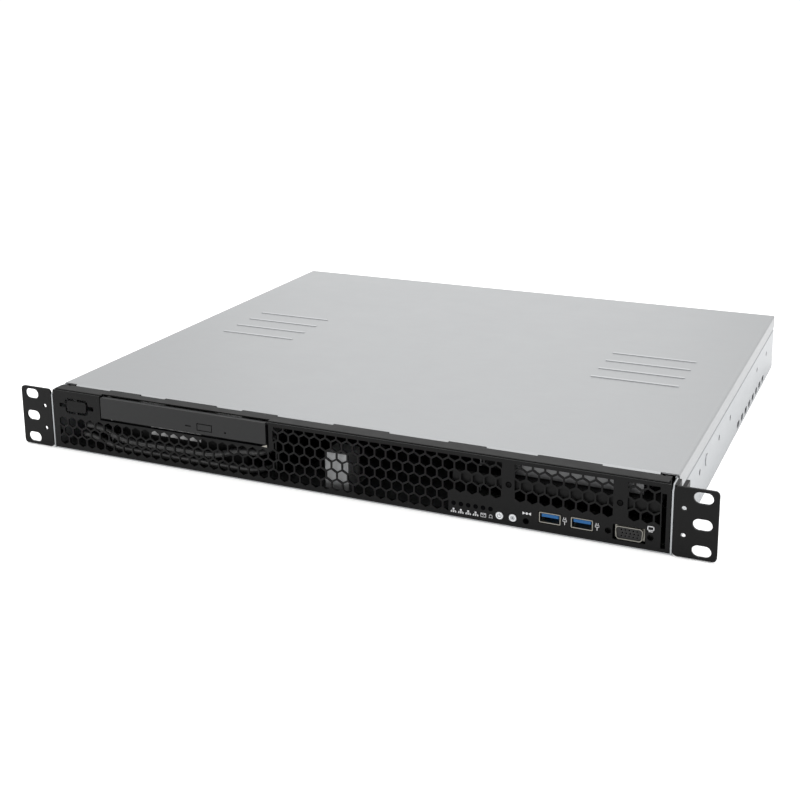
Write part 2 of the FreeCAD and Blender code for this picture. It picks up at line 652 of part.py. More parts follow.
def disk_cradle_left():
    """Galvanised bridge over the left disk that also carries the optical drive."""
    top = box(-175.4, -44.6, 12.0, 168.0, 26.3, 27.4)
    legs = [box(x, x + SHEET, 12.0, 168.0, FLOOR, 27.0) for x in (-175.4, -45.6)]
    feet = [box(x0, x1, 30.0, 146.0, FLOOR, FLOOR + SHEET) for x0, x1 in ((-187.0, -175.0), (-46.0, -34.4))]
    tongue = box(-137.0, -98.0, 5.0, 6.0, 19.4, 27.2)
    bridge = box(-137.0, -98.0, 5.0, 12.4, 26.3, 27.4)
    rails = [box(x0, x1, 40.0, 140.0, 3.1, 4.1) for x0, x1 in ((-175.0, -167.0), (-73.0, -45.0))]
    cradle = join([top, tongue, bridge] + legs + feet + rails)
    windows = [box(-160.0, -118.0, 40.0, 140.0, 25.0, 28.5), box(-106.0, -60.0, 40.0, 140.0, 25.0, 28.5)]
    return cradle.cut(windows)


def disk_cradle_right():
    """Galvanised cage over the right disk, its front flap just behind the intake."""
    top = box(84.6, 199.0, 8.0, 186.0, 40.0, 41.0)
    flap = box(119.5, 197.4, 7.2, 8.2, 31.0, 41.0)
    legs = [box(87.2, 88.2, 36.0, 184.0, FLOOR, 40.5), box(190.2, 191.2, 36.0, 184.0, FLOOR, 40.5)]
    feet = [box(x0, x1, 60.0, 170.0, FLOOR, FLOOR + SHEET) for x0, x1 in ((80.0, 88.0), (190.4, 204.0))]
    ledges = [box(87.8, 96.0, 50.0, 150.0, 11.5, 12.5), box(182.0, 190.6, 50.0, 150.0, 11.5, 12.5)]
    cage = join([top, flap] + legs + feet + ledges)
    return cage.cut([box(100.0, 178.0, 60.0, 160.0, 39.0, 42.0)])


def drive_cables():
    """Two sleeved leads of the left disk, which sag across the front under the optical drive."""
    power = [(-160.0, 189.8, 20.0), (-160.0, 180.0, 20.0), (-100.0, 177.5, 16.0), (-60.0, 172.0, 13.0),
             (-56.0, 120.0, 13.0), (-54.0, 60.0, 15.6), (-53.0, 9.6, 16.6), (-72.0, 9.4, 16.2),
             (-90.0, 9.4, 9.6), (-162.0, 9.4, 8.9), (-184.0, 9.4, 17.0), (-197.0, 9.6, 17.0),
             (-197.0, 60.0, 13.0), (-191.0, 150.0, 10.0), (-189.0, 174.0, 9.4), (-176.0, 174.0, 9.2),
             (-120.0, 175.5, 8.6), (-120.0, 164.0, 7.4)]
    data = [(-96.0, 186.8, 7.8), (-96.0, 180.5, 7.8), (-58.0, 176.0, 7.8), (-50.5, 150.0, 7.8),
            (-50.5, 60.0, 8.0), (-51.5, 9.6, 3.6), (-84.0, 9.4, 3.4), (-170.0, 9.4, 3.4),
            (-190.0, 9.4, 9.6), (-197.0, 9.6, 9.6), (-197.0, 60.0, 6.5), (-191.0, 150.0, 4.8),
            (-189.0, 171.8, 4.2), (-178.0, 171.8, 4.0), (-142.0, 171.5, 3.8), (-142.0, 164.4, 6.8)]
    return group([tube(power, 2.2), tube(data, 1.9)])


def tube(route, radius):
    """A round cable: straight runs joined by tangent arcs as large as the runs allow."""
    p = [V(*q) for q in route]
    edges = []
    at = p[0]
    for i in range(1, len(p) - 1):
        back = (p[i - 1] - p[i])
        ahead = (p[i + 1] - p[i])
        short = min(back.Length, ahead.Length)
        back.normalize()
        ahead.normalize()
        half = back.getAngle(ahead) / 2.0
        reach = 0.45 * short
        bend = reach * math.tan(half)
        middle = (back + ahead).normalize()
        crown = p[i] + middle * (bend / math.sin(half) - bend)
        start = p[i] + back * reach
        end = p[i] + ahead * reach
        edges.append(Part.LineSegment(at, start).toShape())
        edges.append(Part.Arc(start, crown, end).toShape())
        at = end
    edges.append(Part.LineSegment(at, p[-1]).toShape())
    path = Part.Wire(edges)
    way = (p[1] - p[0]).normalize()
    ring = Part.Wire(Part.makeCircle(radius, p[0], way))
    return path.makePipeShell([ring], True, True)


# ---------------------------------------------------------------- fans
def fan_frame(x, y, z, size=FAN):
    """Square fan frame with a round duct, a rear hub on struts and a fixed axle."""
    h = size / 2.0
    frame = plate(rectangle(x - h, x + h, z - h, z + h), "xz", y, FAN_DEPTH,
                  [circle("xz", x, z, y, h - 1.0)], 2.5)
    hub = rod("y", 8.5, (x, y + FAN_DEPTH - 4.0, z), 4.0)
    axle = rod("y", AXLE_R, (x, y + 8.0, z), FAN_DEPTH - 10.0)
    struts = [box(x - h + 0.5, x + h - 0.5, y + FAN_DEPTH - 2.5, y + FAN_DEPTH, z - 1.0, z + 1.0),
              box(x - 1.0, x + 1.0, y + FAN_DEPTH - 2.5, y + FAN_DEPTH, z - h + 0.5, z + h - 0.5)]
    spots = corner_spots(x, z, 0.4 * size)
    holes = [rod("y", 1.6, (a, y - 1, b), FAN_DEPTH + 2) for a, b in spots]
    return join([frame, hub, axle] + struts).cut(holes)


def fan_blade(x, y, z, turn, size):
    """One twisted blade, from the hub to just inside the duct."""
    sections = []
    for r, pitch, chord in ((7.4, 52.0, 16.0), (13.0, 42.0, 17.0), (19.6, 32.0, 17.0)):
        lean = math.radians(pitch)
        sweep = (r - 7.4) * 0.25
        points = []
        for u, t in ((-1, -1), (1, -1), (1, 1), (-1, 1)):
            across = u * math.cos(lean) * chord / 2.0 + sweep + t * 0.45 * math.sin(lean)
            along = u * math.sin(lean) * chord / 2.0 - t * 0.45 * math.cos(lean)
            points.append(V(across, along, r))
        sections.append(Part.makePolygon(points + [points[0]]))
    blade = Part.makeLoft(sections, True, True)
    blade = blade.common(rod("y", size / 2.0 - 1.7, (0, -20, 0), 40.0))
    blade.rotate(V(0, 0, 0), V(0, 1, 0), turn)
    blade.translate(V(x, y + 11.0, z))
    return blade


def fan_rotor(x, y, z, size=FAN):
    """Fan rotor: a cup-shaped hub with seven blades on the axle's bore."""
    hub = rod("y", 9.0, (x, y + 2.0, z), FAN_DEPTH - 6.6)
    front = [e for e in hub.Edges if abs(e.CenterOfMass.y - y - 2.0) < 1e-6]
    hub = hub.makeFillet(1.2, front)
    rotor = join([hub] + [fan_blade(x, y, z, 360.0 * k / 7, size) for k in range(7)])
    return rotor.cut(rod("y", AXLE_R + AXLE_GAP, (x, y + 7.0, z), FAN_DEPTH))


def fan_bracket():
    """Galvanised tray that the two case fans stand in."""
    x0 = FAN_X[0] - FAN / 2.0 - 1.6
    x1 = FAN_X[1] + FAN / 2.0 + 1.6
    y0 = FAN_Y - 1.4
    y1 = FAN_Y + FAN_DEPTH + 1.4
    base = box(x0, x1, y0, y1, FLOOR, FAN_BASE_Z)
    ends = [box(a, b, y0, y1, FLOOR, 22.0) for a, b in ((x0, x0 + 1.0), (x1 - 1.0, x1))]
    lips = [box(x0, x1, a, b, FLOOR, 5.0) for a, b in ((y0, y0 + 1.0), (y1 - 1.0, y1))]
    return join([base] + ends + lips)


# ---------------------------------------------------------------- power supply
def psu_case():
    """Sheet case of the power supply, with vents at both ends and the inlet's cut-out."""
    x0, x1 = PSU_X
    y0, y1 = PSU_Y
    z0, z1 = PSU_Z
    shell = box(x0, x1, y0, y1, z0, z1).cut(box(x0 + 1, x1 - 1, y0 + 1, y1 - 1, z0 + 1, z1 - 1))
    rings = []
    for ring, count in ((5.5, 6), (10.5, 12), (15.5, 18)):
        for k in range(count):
            a = 2 * math.pi * k / count
            spot = (PSU_FAN_X + ring * math.cos(a), y1 - 2.0, PSU_FAN_Z + ring * math.sin(a))
            rings.append(rod("y", 2.1, spot, 4.0))
    slots = []
    for k in range(11):
        x = x0 + 8.0 + 6.5 * k
        slots.append(box(x - 1.7, x + 1.7, y0 - 1, y0 + 2, 6.0, 35.0))
    inlet = box(INLET_X - 13.8, INLET_X + 13.8, y1 - 3, y1 + 1, INLET_Z - 10.2, INLET_Z + 10.2)
    return shell.cut(rings + slots + [inlet])


def psu_inlet():
    """Mains inlet body with its three-pin well and a flange outside the case."""
    x = INLET_X
    y = PSU_Y[1]
    z = INLET_Z
    well = rectangle(x - 12.0, x + 12.0, z - 8.0, z + 8.0)
    body = plate(rectangle(x - 13.4, x + 13.4, z - 9.8, z + 9.8), "xz", y - 16.0, 16.0,
                 [outline(well, "xz", y - 16.0, 2.0)], 2.4)
    back = box(x - 13.0, x + 13.0, y - 18.0, y - 15.8, z - 9.4, z + 9.4)
    rim = plate(rectangle(x - 15.0, x + 15.0, z - 11.4, z + 11.4), "xz", y, 1.9,
                [outline(well, "xz", y, 2.0)], 3.0)
    return join([body, back, rim])


def inlet_pins():
    """The three contact blades of the mains inlet."""
    y = PSU_Y[1] - 15.8
    spots = [(INLET_X - 7.0, INLET_Z - 2.0), (INLET_X + 7.0, INLET_Z - 2.0), (INLET_X, INLET_Z + 2.0)]
    return group([box(x - 1.0, x + 1.0, y, y + 11.0, z - 2.0, z + 2.0) for x, z in spots])


# ---------------------------------------------------------------- main board
def board_spots():
    """Where the main board stands on its pillars."""
    xs = (BOARD_X[0] + 7.0, (BOARD_X[0] + BOARD_X[1]) / 2.0 - 16.0, BOARD_X[1] - 16.0)
    ys = (BOARD_Y[0] + 7.0, BOARD_Y[1] - 40.0)
    return [(x, y) for x in xs for y in ys]


def main_board():
    """Main circuit board with its fixed chips, coils and capacitors."""
    holes = [circle("xy", x, y, BOARD_Z, 2.0) for x, y in board_spots()]
    board = plate(rectangle(*BOARD_X, *BOARD_Y), "xy", BOARD_Z, BOARD_THICK, holes, 1.0)
    parts = [board]
    top = BOARD_TOP - 0.1
    for k in range(6):
        parts.append(box(-48.0, -38.0, 214.0 + 13.0 * k, 223.0 + 13.0 * k, top, top + 7.0))
    for k in range(7):
        parts.append(rod("z", 3.6, (-60.0, 218.0 + 11.5 * k, top), 9.0))
    parts.append(box(-92.0, -70.0, 230.0, 252.0, top, top + 2.0))
    parts.append(box(-90.0, -72.0, 290.0, 308.0, top, top + 1.6))
    parts.append(box(-108.0, -98.0, 202.0, 250.0, top, top + 13.0))
    for k in range(4):
        parts.append(box(-88.0 + 12.0 * k, -79.0 + 12.0 * k, 189.0, 198.0, top, top + 8.0))
    parts.append(rod("z", 10.0, (-80.0, 330.0, top), 4.0))
    return join(parts)


def board_pillars():
    """Six brass pillars under the main board."""
    pillars = []
    for x, y in board_spots():
        pillar = rod("z", 3.0, (x, y, FLOOR), BOARD_Z - FLOOR)
        pillars.append(pillar.cut(rod("z", 1.5, (x, y, FLOOR + 1.0), 8.0)))
    return group(pillars)


def board_screws():
    """Six screws that hold the main board to its pillars."""
    return group([cross_head("z", (x, y, BOARD_TOP), 3.0, 1.9, 1.45, 5.5) for x, y in board_spots()])


def cpu_socket():
    """Processor socket frame on the main board."""
    z = BOARD_TOP
    frame = box(CPU_X - 21, CPU_X + 21, CPU_Y - 24, CPU_Y + 24, z, z + 3.4)
    frame = frame.cut(box(CPU_X - 16.5, CPU_X + 16.5, CPU_Y - 16.5, CPU_Y + 16.5, z + 1.4, z + 9))
    return frame


def processor():
    """Processor: green carrier with its heat spreader."""
    z = BOARD_TOP + 1.4
    carrier = box(CPU_X - 16.2, CPU_X + 16.2, CPU_Y - 16.2, CPU_Y + 16.2, z, z + 1.2)
    edge = rectangle(CPU_X - 13.5, CPU_X + 13.5, CPU_Y - 13.5, CPU_Y + 13.5)
    lid = plate(edge, "xy", z + 1.1, 2.3, [], 2.0)
    return join([carrier, lid])


def heatsink():
    """Aluminium heat sink with upright fins along the air stream."""
    z0 = BOARD_TOP + 4.8
    half = 40.0
    base = 4.0
    top = z0 + 25.0
    fins = 23
    pitch = (2 * half - 1.0) / (fins - 1)
    parts = [box(CPU_X - half, CPU_X + half, CPU_Y - half, CPU_Y + half, z0, z0 + base)]
    for k in range(fins):
        x = CPU_X - half + k * pitch
        parts.append(box(x, x + 1.0, CPU_Y - half, CPU_Y + half, z0 + base - 0.5, top))
    sink = join(parts)
    spots = corner_spots(CPU_X, CPU_Y, 33.5)
    corners = [rod("z", 5.0, (x, y, z0 + base), 40.0) for x, y in spots]
    bores = [rod("z", 1.9, (x, y, z0 - 1), 9.0) for x, y in spots]
    return sink.cut(corners + bores)


def heatsink_screws():
    """Four sprung screws at the heat sink's corners, each with its collar spring."""
    parts = []
    z = BOARD_TOP + 8.8
    for x, y in corner_spots(CPU_X, CPU_Y, 33.5):
        screw = cross_head("z", (x, y, z + 7.0), 3.6, 2.2, 1.6, 14.0)
        sleeve = rod("z", 3.1, (x, y, z), 7.1)
        parts.append(join([screw, sleeve]))
    return group(parts)


def air_duct():
    """Clear plastic duct that leads the fans' air over the heat sink."""
    x0 = CPU_X - 48.0
    x1 = CPU_X + 46.0
    section = [(x0, 17.0), (x0, 40.4), (x1, 40.4), (x1, 17.0), (x1 - 1.2, 17.0), (x1 - 1.2, 39.2),
               (x0 + 1.2, 39.2), (x0 + 1.2, 17.0)]
    duct = plate(section, "xz", FAN_Y + FAN_DEPTH + 3.0, 130.0)
    feet = [box(x, x + 1.2, 190.0, 196.0, BOARD_TOP, 17.2) for x in (x0, x1 - 1.2)]
    return join([duct] + feet)


def memory_sockets():
    """Two memory sockets along the main board."""
    parts = []
    for x in MEMORY_X:
        block = box(x - 3.2, x + 3.2, 214.0, 356.0, BOARD_TOP, BOARD_TOP + 5.6)
        latches = ((211.0, 216.4), (353.6, 359.0))
        ends = [box(x - 3.2, x + 3.2, a, b, BOARD_TOP, BOARD_TOP + 14.0) for a, b in latches]
        socket = join([block] + ends)
        parts.append(socket.cut(box(x - 0.75, x + 0.75, 218.0, 352.0, BOARD_TOP + 1.6, BOARD_TOP + 20)))
    return group(parts)


def memory_modules():
    """Two memory modules with eight chips on each side."""
    parts = []
    for x in MEMORY_X:
        z0 = BOARD_TOP + 1.8
        card = box(x - 0.6, x + 0.6, 218.4, 351.6, z0, z0 + 30.0)
        chips = []
        for k in range(8):
            y = 224.0 + 16.0 * k
            chips.append(box(x - 1.6, x + 1.6, y, y + 10.5, z0 + 12.0, z0 + 24.0))
        parts.append(join([card] + chips))
    return group(parts)


def riser_card():
    """Riser board that turns the expansion slot on its side, in its board socket."""
    socket = box(RISER_X - 3.6, RISER_X + 3.6, 246.0, 336.0, BOARD_TOP, BOARD_TOP + 11.0)
    card = box(RISER_X - 0.8, RISER_X + 0.8, 250.0, 332.0, BOARD_TOP + 10.0, 39.5)
    slot = box(RISER_X + 0.7, RISER_X + 11.0, 250.0, 328.0, 25.0, 32.4)
    groove = box(RISER_X + 5.0, RISER_X + 12.0, 252.0, 326.0, 27.9, 29.5)
    return join([socket, card, slot]).cut(groove)


def slot_cover():
    """Blank plate that closes the expansion slot in the rear panel."""
    x0, x1 = SLOT_COVER_X
    z0, z1 = SLOT_COVER_Z
    face = box(x0, x1, REAR_Y - 0.9, REAR_Y, z0, z1)
    lip = box(x0 - 6.0, x0 + 0.2, REAR_Y - 12.0, REAR_Y, z0 + 4, z1 - 4)
    lip = lip.cut(box(x0 - 7.0, x0 - 0.9, REAR_Y - 11.1, REAR_Y + 1, z0, z1))
    return join([face, lip])


# ---------------------------------------------------------------- rear ports
def lan_ports():
    """Two network sockets, each with its plug opening and latch notch."""
    parts = []
    for x in LAN_X:
        z0 = BOARD_TOP
        y1 = DEPTH - 0.6
        shell = box(x - 8.0, x + 8.0, y1 - 21.0, y1, z0, z0 + 13.6)
        mouth = box(x - 5.9, x + 5.9, y1 - 14.0, y1 + 1, z0 + 1.6, z0 + 9.8)
        notch = box(x - 3.0, x + 3.0, y1 - 14.0, y1 + 1, z0 + 9.6, z0 + 12.2)
        parts.append(shell.cut([mouth, notch]))
    return group(parts)


def rear_usb_stack():
    """Two stacked USB sockets with their tongues, in one metal shell."""
    z0 = BOARD_TOP
    y1 = DEPTH - 0.5
    x = STACK_X
    shell = box(x - 6.9, x + 6.9, y1 - 17.0, y1, z0, z0 + 15.6)
    mouths = [box(x - 6.2, x + 6.2, y1 - 10.0, y1 + 1, z0 + a, z0 + a + 5.4) for a in (1.4, 9.0)]
    tongues = [box(x - 5.2, x + 5.2, y1 - 11.0, y1 - 0.8, z0 + a + 2.9, z0 + a + 4.6) for a in (1.4, 9.0)]
    return join([shell.cut(mouths)] + tongues)


def rear_monitor_socket():
    """Monitor socket at the rear: D-shaped shell, insulator with pin holes and jack nuts."""
    x = REAR_VGA_X
    z = BOARD_TOP + 6.3
    y1 = DEPTH - 0.4
    block = box(x - 15.4, x + 15.4, y1 - 14.0, y1 - 3.0, BOARD_TOP, BOARD_TOP + 12.6)
    nose = plate(d_corners(x, z, 16.4, 8.2), "xz", y1 - 3.2, 3.2, [], 2.0)
    groove = plate(d_corners(x, z, 15.4, 7.2), "xz", y1 - 1.4, 2.0, [], 1.6)
    nuts = [rod("y", 2.3, (a, y1 - 3.2, z), 2.6) for a in (x - 12.2, x + 12.2)]
    pins = [rod("y", 1.2, (a, y1 - 3, z), 4.0) for a in (x - 12.2, x + 12.2)]
    for row, dz in enumerate((1.9, 0.0, -1.9)):
        for k in range(5):
            spot = x + (k - 2) * 2.3 + (0.55 if row == 1 else 0.0)
            pins.append(rod("y", 0.42, (spot, y1 - 3.0, z + dz), 4.0))
    return join([block, nose] + nuts).cut([groove] + pins)


def power_cable():
    """Sleeved lead from the power supply to the main board's power socket."""
    route = [(-140.0, 190.0, 26.0), (-140.0, 180.0, 26.0), (-128.0, 171.0, 30.0), (-112.0, 177.0, 35.0),
             (-104.0, 194.0, 37.5), (-103.5, 213.0, 37.5), (-103.0, 226.0, 34.0), (-103.0, 226.0, 21.5)]
    return tube(route, 3.2)


# ---------------------------------------------------------------- cover
def top_cover():
    """Sliding lid with skirts over the side walls, grip ribs and a rear lip for its screws."""
    w = BODY_HALF - 0.1
    inner = w - SKIN
    front = 15.4
    z = COVER_TOP
    skin = [(w, SEAM_Z), (w, z - 0.9), (w - 0.9, z), (-w + 0.9, z), (-w, z - 0.9), (-w, SEAM_Z),
            (-inner, SEAM_Z), (-inner, COVER_UNDER), (inner, COVER_UNDER), (inner, SEAM_Z)]
    parts = [plate(skin, "xz", front, DEPTH - front)]
    step = [(13.9, z - 1.8), (15.0, z - 1.8), (15.6, COVER_UNDER), (15.6, z), (15.2, z),
            (14.1, z - 1.0), (12.1, z - 1.0), (12.1, z - 1.8)]
    parts.append(plate(step, "yz", -205.0, 410.0))
    parts.append(box(-w + 0.5, w - 0.5, DEPTH - SKIN, DEPTH, z - 5.0, z - 0.1))
    for x in THUMB_X:
        parts.append(plate(rectangle(x - 8.0, x + 8.0, THUMB_Z - 5.5, z - 2.0), "xz", DEPTH - SKIN, SKIN))
    for side in (-1, 1):
        for y in RIB_Y:
            x = side * RIB_X
            edge = rectangle(x - RIB_LENGTH / 2.0, x + RIB_LENGTH / 2.0, y - 1.2, y + 1.2)
            parts.append(plate(edge, "xy", z - 0.3, RIB_HEIGHT + 0.3, [], 1.15))
    lid = join(parts)
    holes = [rod("y", 2.1, (x, DEPTH - 3.0, THUMB_Z), 6.0) for x in THUMB_X]
    return lid.cut(holes)


def thumb_screw(x):
    """Captive thumb screw at the rear of the cover, with a knurled head."""
    y = DEPTH + 0.3
    head = rod("y", 4.2, (x, y, THUMB_Z), SCREW_PROUD - 0.3)
    teeth = []
    for k in range(24):
        a = 2 * math.pi * k / 24
        teeth.append(rod("y", 0.32, (x + 4.3 * math.cos(a), y - 1, THUMB_Z + 4.3 * math.sin(a)), 8.0))
    head = head.cut(teeth)
    slot = box(x - 3.0, x + 3.0, y + 3.6, y + 6.0, THUMB_Z - 0.5, THUMB_Z + 0.5)
    shank = rod("y", 1.75, (x, DEPTH - 6.0, THUMB_Z), 7.0)
    return join([head.cut(slot), shank])


# ---------------------------------------------------------------- every piece, by name
FAN_Z = FAN_BASE_Z + FAN / 2.0
PSU_FAN_Y = PSU_Y[1] - SHEET - FAN_DEPTH
PSU_FAN_Z = PSU_Z[0] + SHEET + PSU_FAN_SIZE / 2.0
PSU_FAN = (PSU_FAN_X, PSU_FAN_Y, PSU_FAN_Z, PSU_FAN_SIZE)

PIECES = {
    "chassis_floor": chassis_floor,
    "side_wall_left": lambda: side_wall(-1),
    "side_wall_right": lambda: side_wall(1),
    "rear_panel": rear_panel,
    "front_panel": front_panel,
    "front_top_rail": front_top_rail,
    "rack_ear_left": lambda: rack_ear(-1),
    "rack_ear_right": lambda: rack_ear(1),
    "ear_screws": ear_screws,
    "panel_screws": panel_screws,
    "front_brace": front_brace,
    "support_post": support_post,
    "front_io_board": front_io_board,
    "power_button": lambda: push_button(POWER_AT, BUTTON_R),
    "locate_button": lambda: push_button(LOCATE_AT, BUTTON_R),
    "reset_button": reset_button,
    "light_pipes": light_pipes,
    "usb_shells": usb_shells,
    "usb_tongues": usb_tongues,
    "vga_shell": vga_shell,
    "vga_insert": vga_insert,
    "drive_case": drive_case,
    "disc_tray": disc_tray,
    "drive_bezel": drive_bezel,
    "eject_button": eject_button,
    "disc_hub": disc_hub,
    "disk_left": disk_left,
    "disk_right": disk_right,
    "disk_cradle_left": disk_cradle_left,
    "disk_cradle_right": disk_cradle_right,
    "drive_cables": drive_cables,
    "fan_frame_left": lambda: fan_frame(FAN_X[0], FAN_Y, FAN_Z),
    "fan_frame_right": lambda: fan_frame(FAN_X[1], FAN_Y, FAN_Z),
    "psu_fan_frame": lambda: fan_frame(*PSU_FAN),
    "fan_rotor_left": lambda: fan_rotor(FAN_X[0], FAN_Y, FAN_Z),
    "fan_rotor_right": lambda: fan_rotor(FAN_X[1], FAN_Y, FAN_Z),
    "psu_fan_rotor": lambda: fan_rotor(*PSU_FAN),
    "fan_bracket": fan_bracket,
    "psu_case": psu_case,
    "psu_inlet": psu_inlet,
    "inlet_pins": inlet_pins,
    "main_board": main_board,
    "board_pillars": board_pillars,
    "board_screws": board_screws,
    "cpu_socket": cpu_socket,
    "processor": processor,
    "heatsink": heatsink,
    "heatsink_screws": heatsink_screws,
    "air_duct": air_duct,
    "memory_sockets": memory_sockets,
    "memory_modules": memory_modules,
    "riser_card": riser_card,
    "slot_cover": slot_cover,
    "lan_ports": lan_ports,
    "rear_usb_stack": rear_usb_stack,
    "rear_monitor_socket": rear_monitor_socket,
    "power_cable": power_cable,
    "top_cover": top_cover,
    "thumb_screw_left": lambda: thumb_screw(THUMB_X[0]),
    "thumb_screw_right": lambda: thumb_screw(THUMB_X[1]),
}


def save(name, shape):
    """Move a piece so that the origin lies under the middle, check it and write it."""
    shape.translate(V(0, -OVERALL_DEPTH / 2.0, 0))
    solids = shape.Solids
    shape = solids[0] if len(solids) == 1 else Part.makeCompound(solids)
    note = "" if shape.isValid() else "  INVALID"
    print("%-22s %2d solids %9.0f mm3%s" % (name, len(solids), shape.Volume, note))
    shape.exportStep("parts/" + name + ".step")


os.makedirs("parts", exist_ok=True)
for piece_name, make in PIECES.items():
    save(piece_name, make())
print(len(PIECES), "pieces")
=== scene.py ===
# %% [markdown]
# # A one-unit rack server
# A rack server is a shallow steel box that slides into a 19-inch rack. Its sheet metal, sockets
# and moving parts come ready-made from the CAD model, so their sizes are already right. What is
# left for Blender is how they look: bent edges that catch the light, the finish of every metal
# and plastic, printed marks, contacts, wires and small parts that repeat.

# %% Load the frame
import json
import math

import bmesh
import bpy
from mathutils import Matrix, Vector


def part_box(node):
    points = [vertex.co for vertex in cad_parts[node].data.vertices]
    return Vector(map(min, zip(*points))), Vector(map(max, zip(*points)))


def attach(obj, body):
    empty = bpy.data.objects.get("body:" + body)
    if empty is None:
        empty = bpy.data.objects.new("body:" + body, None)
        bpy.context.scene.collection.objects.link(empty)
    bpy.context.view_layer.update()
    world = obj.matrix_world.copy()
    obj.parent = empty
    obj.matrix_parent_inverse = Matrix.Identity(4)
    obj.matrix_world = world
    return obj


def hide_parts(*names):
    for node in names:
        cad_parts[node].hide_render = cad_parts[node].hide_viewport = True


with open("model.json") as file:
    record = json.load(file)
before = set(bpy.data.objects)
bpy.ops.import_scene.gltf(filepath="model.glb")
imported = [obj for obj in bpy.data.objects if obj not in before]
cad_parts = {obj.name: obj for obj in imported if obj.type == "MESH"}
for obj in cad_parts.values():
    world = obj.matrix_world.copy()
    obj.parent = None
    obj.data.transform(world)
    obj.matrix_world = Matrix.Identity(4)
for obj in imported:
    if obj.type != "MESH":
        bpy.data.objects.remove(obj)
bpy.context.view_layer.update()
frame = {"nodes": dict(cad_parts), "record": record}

MM = 0.001
nodes = frame["nodes"]

# %% [markdown]
# ## Writing a material as sums
# Every finish here is a small calculation: a base tone, a little noise, a wear mask. Wiring the
# nodes by hand hides that calculation. Wire wraps one socket, so that Python's own operators
# add the Math nodes, and Finish holds one material and adds any other node in one call.

# %% A socket that can be added, multiplied and compared
class Wire:
    """One output socket. Sums written with it become Math nodes."""

    def __init__(self, finish, socket):
        self.finish = finish
        self.socket = socket

    def math(self, operation, *values):
        inputs = dict(enumerate(values))
        return self.finish.node("ShaderNodeMath", {"operation": operation}, inputs)

    def __add__(self, other):
        return self.math("ADD", self, other)

    def __radd__(self, other):
        return self.math("ADD", other, self)

    def __sub__(self, other):
        return self.math("SUBTRACT", self, other)

    def __rsub__(self, other):
        return self.math("SUBTRACT", other, self)

    def __mul__(self, other):
        return self.math("MULTIPLY", self, other)

    def __rmul__(self, other):
        return self.math("MULTIPLY", other, self)

    def __truediv__(self, other):
        return self.math("DIVIDE", self, other)

    def __gt__(self, other):
        return self.math("GREATER_THAN", self, other)

    def __lt__(self, other):
        return self.math("LESS_THAN", self, other)

    def size(self):
        """The value without its sign."""
        return self.math("ABSOLUTE", self)


print("sums of sockets ready")

# %% A material and its nodes
class Finish:
    """One material: a Principled surface, and the nodes that feed it."""

    def __init__(self, name, **constants):
        self.material = bpy.data.materials.new(name)
        self.material.use_nodes = True
        self.tree = self.material.node_tree
        self.surface = self.tree.nodes["Principled BSDF"]
        for key, value in constants.items():
            self.surface.inputs[key.replace("_", " ")].default_value = value
        self.place = self.node("ShaderNodeTexCoord", out="Object")

    def node(self, kind, settings=None, inputs=None, out=0):
        """Add a node: its settings first, then the values or wires of its sockets."""
        made = self.tree.nodes.new(kind)
        for key, value in (settings or {}).items():
            setattr(made, key, value)
        for key, value in (inputs or {}).items():
            if isinstance(value, Wire):
                self.tree.links.new(value.socket, made.inputs[key])
            else:
                made.inputs[key].default_value = value
        return Wire(self, made.outputs[out])

    def feed(self, key, wire):
        """Lead a wire into one socket of the surface."""
        self.tree.links.new(wire.socket, self.surface.inputs[key])

    def noise(self, scale, detail=3.0, stretch=(1, 1, 1)):
        """Soft random values between 0 and 1, about 1/scale metres from one to the next."""
        place = self.place
        if stretch != (1, 1, 1):
            place = self.node("ShaderNodeMapping", None, {"Vector": place, "Scale": stretch})
        return self.node("ShaderNodeTexNoise", None,
                         {"Vector": place, "Scale": scale, "Detail": detail})

    def axes(self):
        """The three coordinates of the point, as wires."""
        split = self.node("ShaderNodeSeparateXYZ", None, {"Vector": self.place})
        made = split.socket.node
        return [Wire(self, made.outputs[k]) for k in range(3)]

    def mix(self, amount, first, second):
        """A colour between two colours."""
        return self.node("ShaderNodeMix", {"data_type": "RGBA"},
                         {0: amount, 6: first, 7: second}, out=2)

    def bump(self, height, depth, strength=1.0):
        """Make the surface rise and fall with a value, depth in metres."""
        lifted = self.node("ShaderNodeBump", None,
                           {"Height": height, "Distance": depth, "Strength": strength})
        self.feed("Normal", lifted)


def grey(level, warm=0.0):
    """An opaque grey, a little warmer or cooler than neutral."""
    return (level * (1 + warm), level, level * (1 - warm), 1.0)


print("material helpers ready")

# %% [markdown]
# ## Sheet steel
# The cover and the walls are galvanised sheet: a dull, even grey with faint cloudy patches where
# the zinc set, and a fine grain along the rolling direction. A mirror-like metal would look wet,
# so the roughness is high and only wavers a little. The cover is smoother than the chassis, and
# the crests of its grip ribs are a lighter grey: painted highlight, with some rubbed wear. Above
# its lowest 0.7 mm the floor is near black. The disk cradles behind the front vent get darker
# copies of the zinc: painted shade.

# %% Galvanised sheet
# How many cloudy patches, zinc flakes and grain lines there are in a metre.
PATCHES, FLAKES, GRAINS = 38.0, 260.0, 900.0
ROLLING = (0.08, 1.0, 1.0)  # the grain is drawn out across the machine
RIB_HIGHLIGHT_HEIGHT = 0.04322      # above it the rib crests are lighter: painted highlight, with some rubbed wear
FLOOR_DARK_HEIGHT = 0.0007        # above it the floor is near black
TONGUE_END = -0.09          # past it the left cradle is near black: painted shade
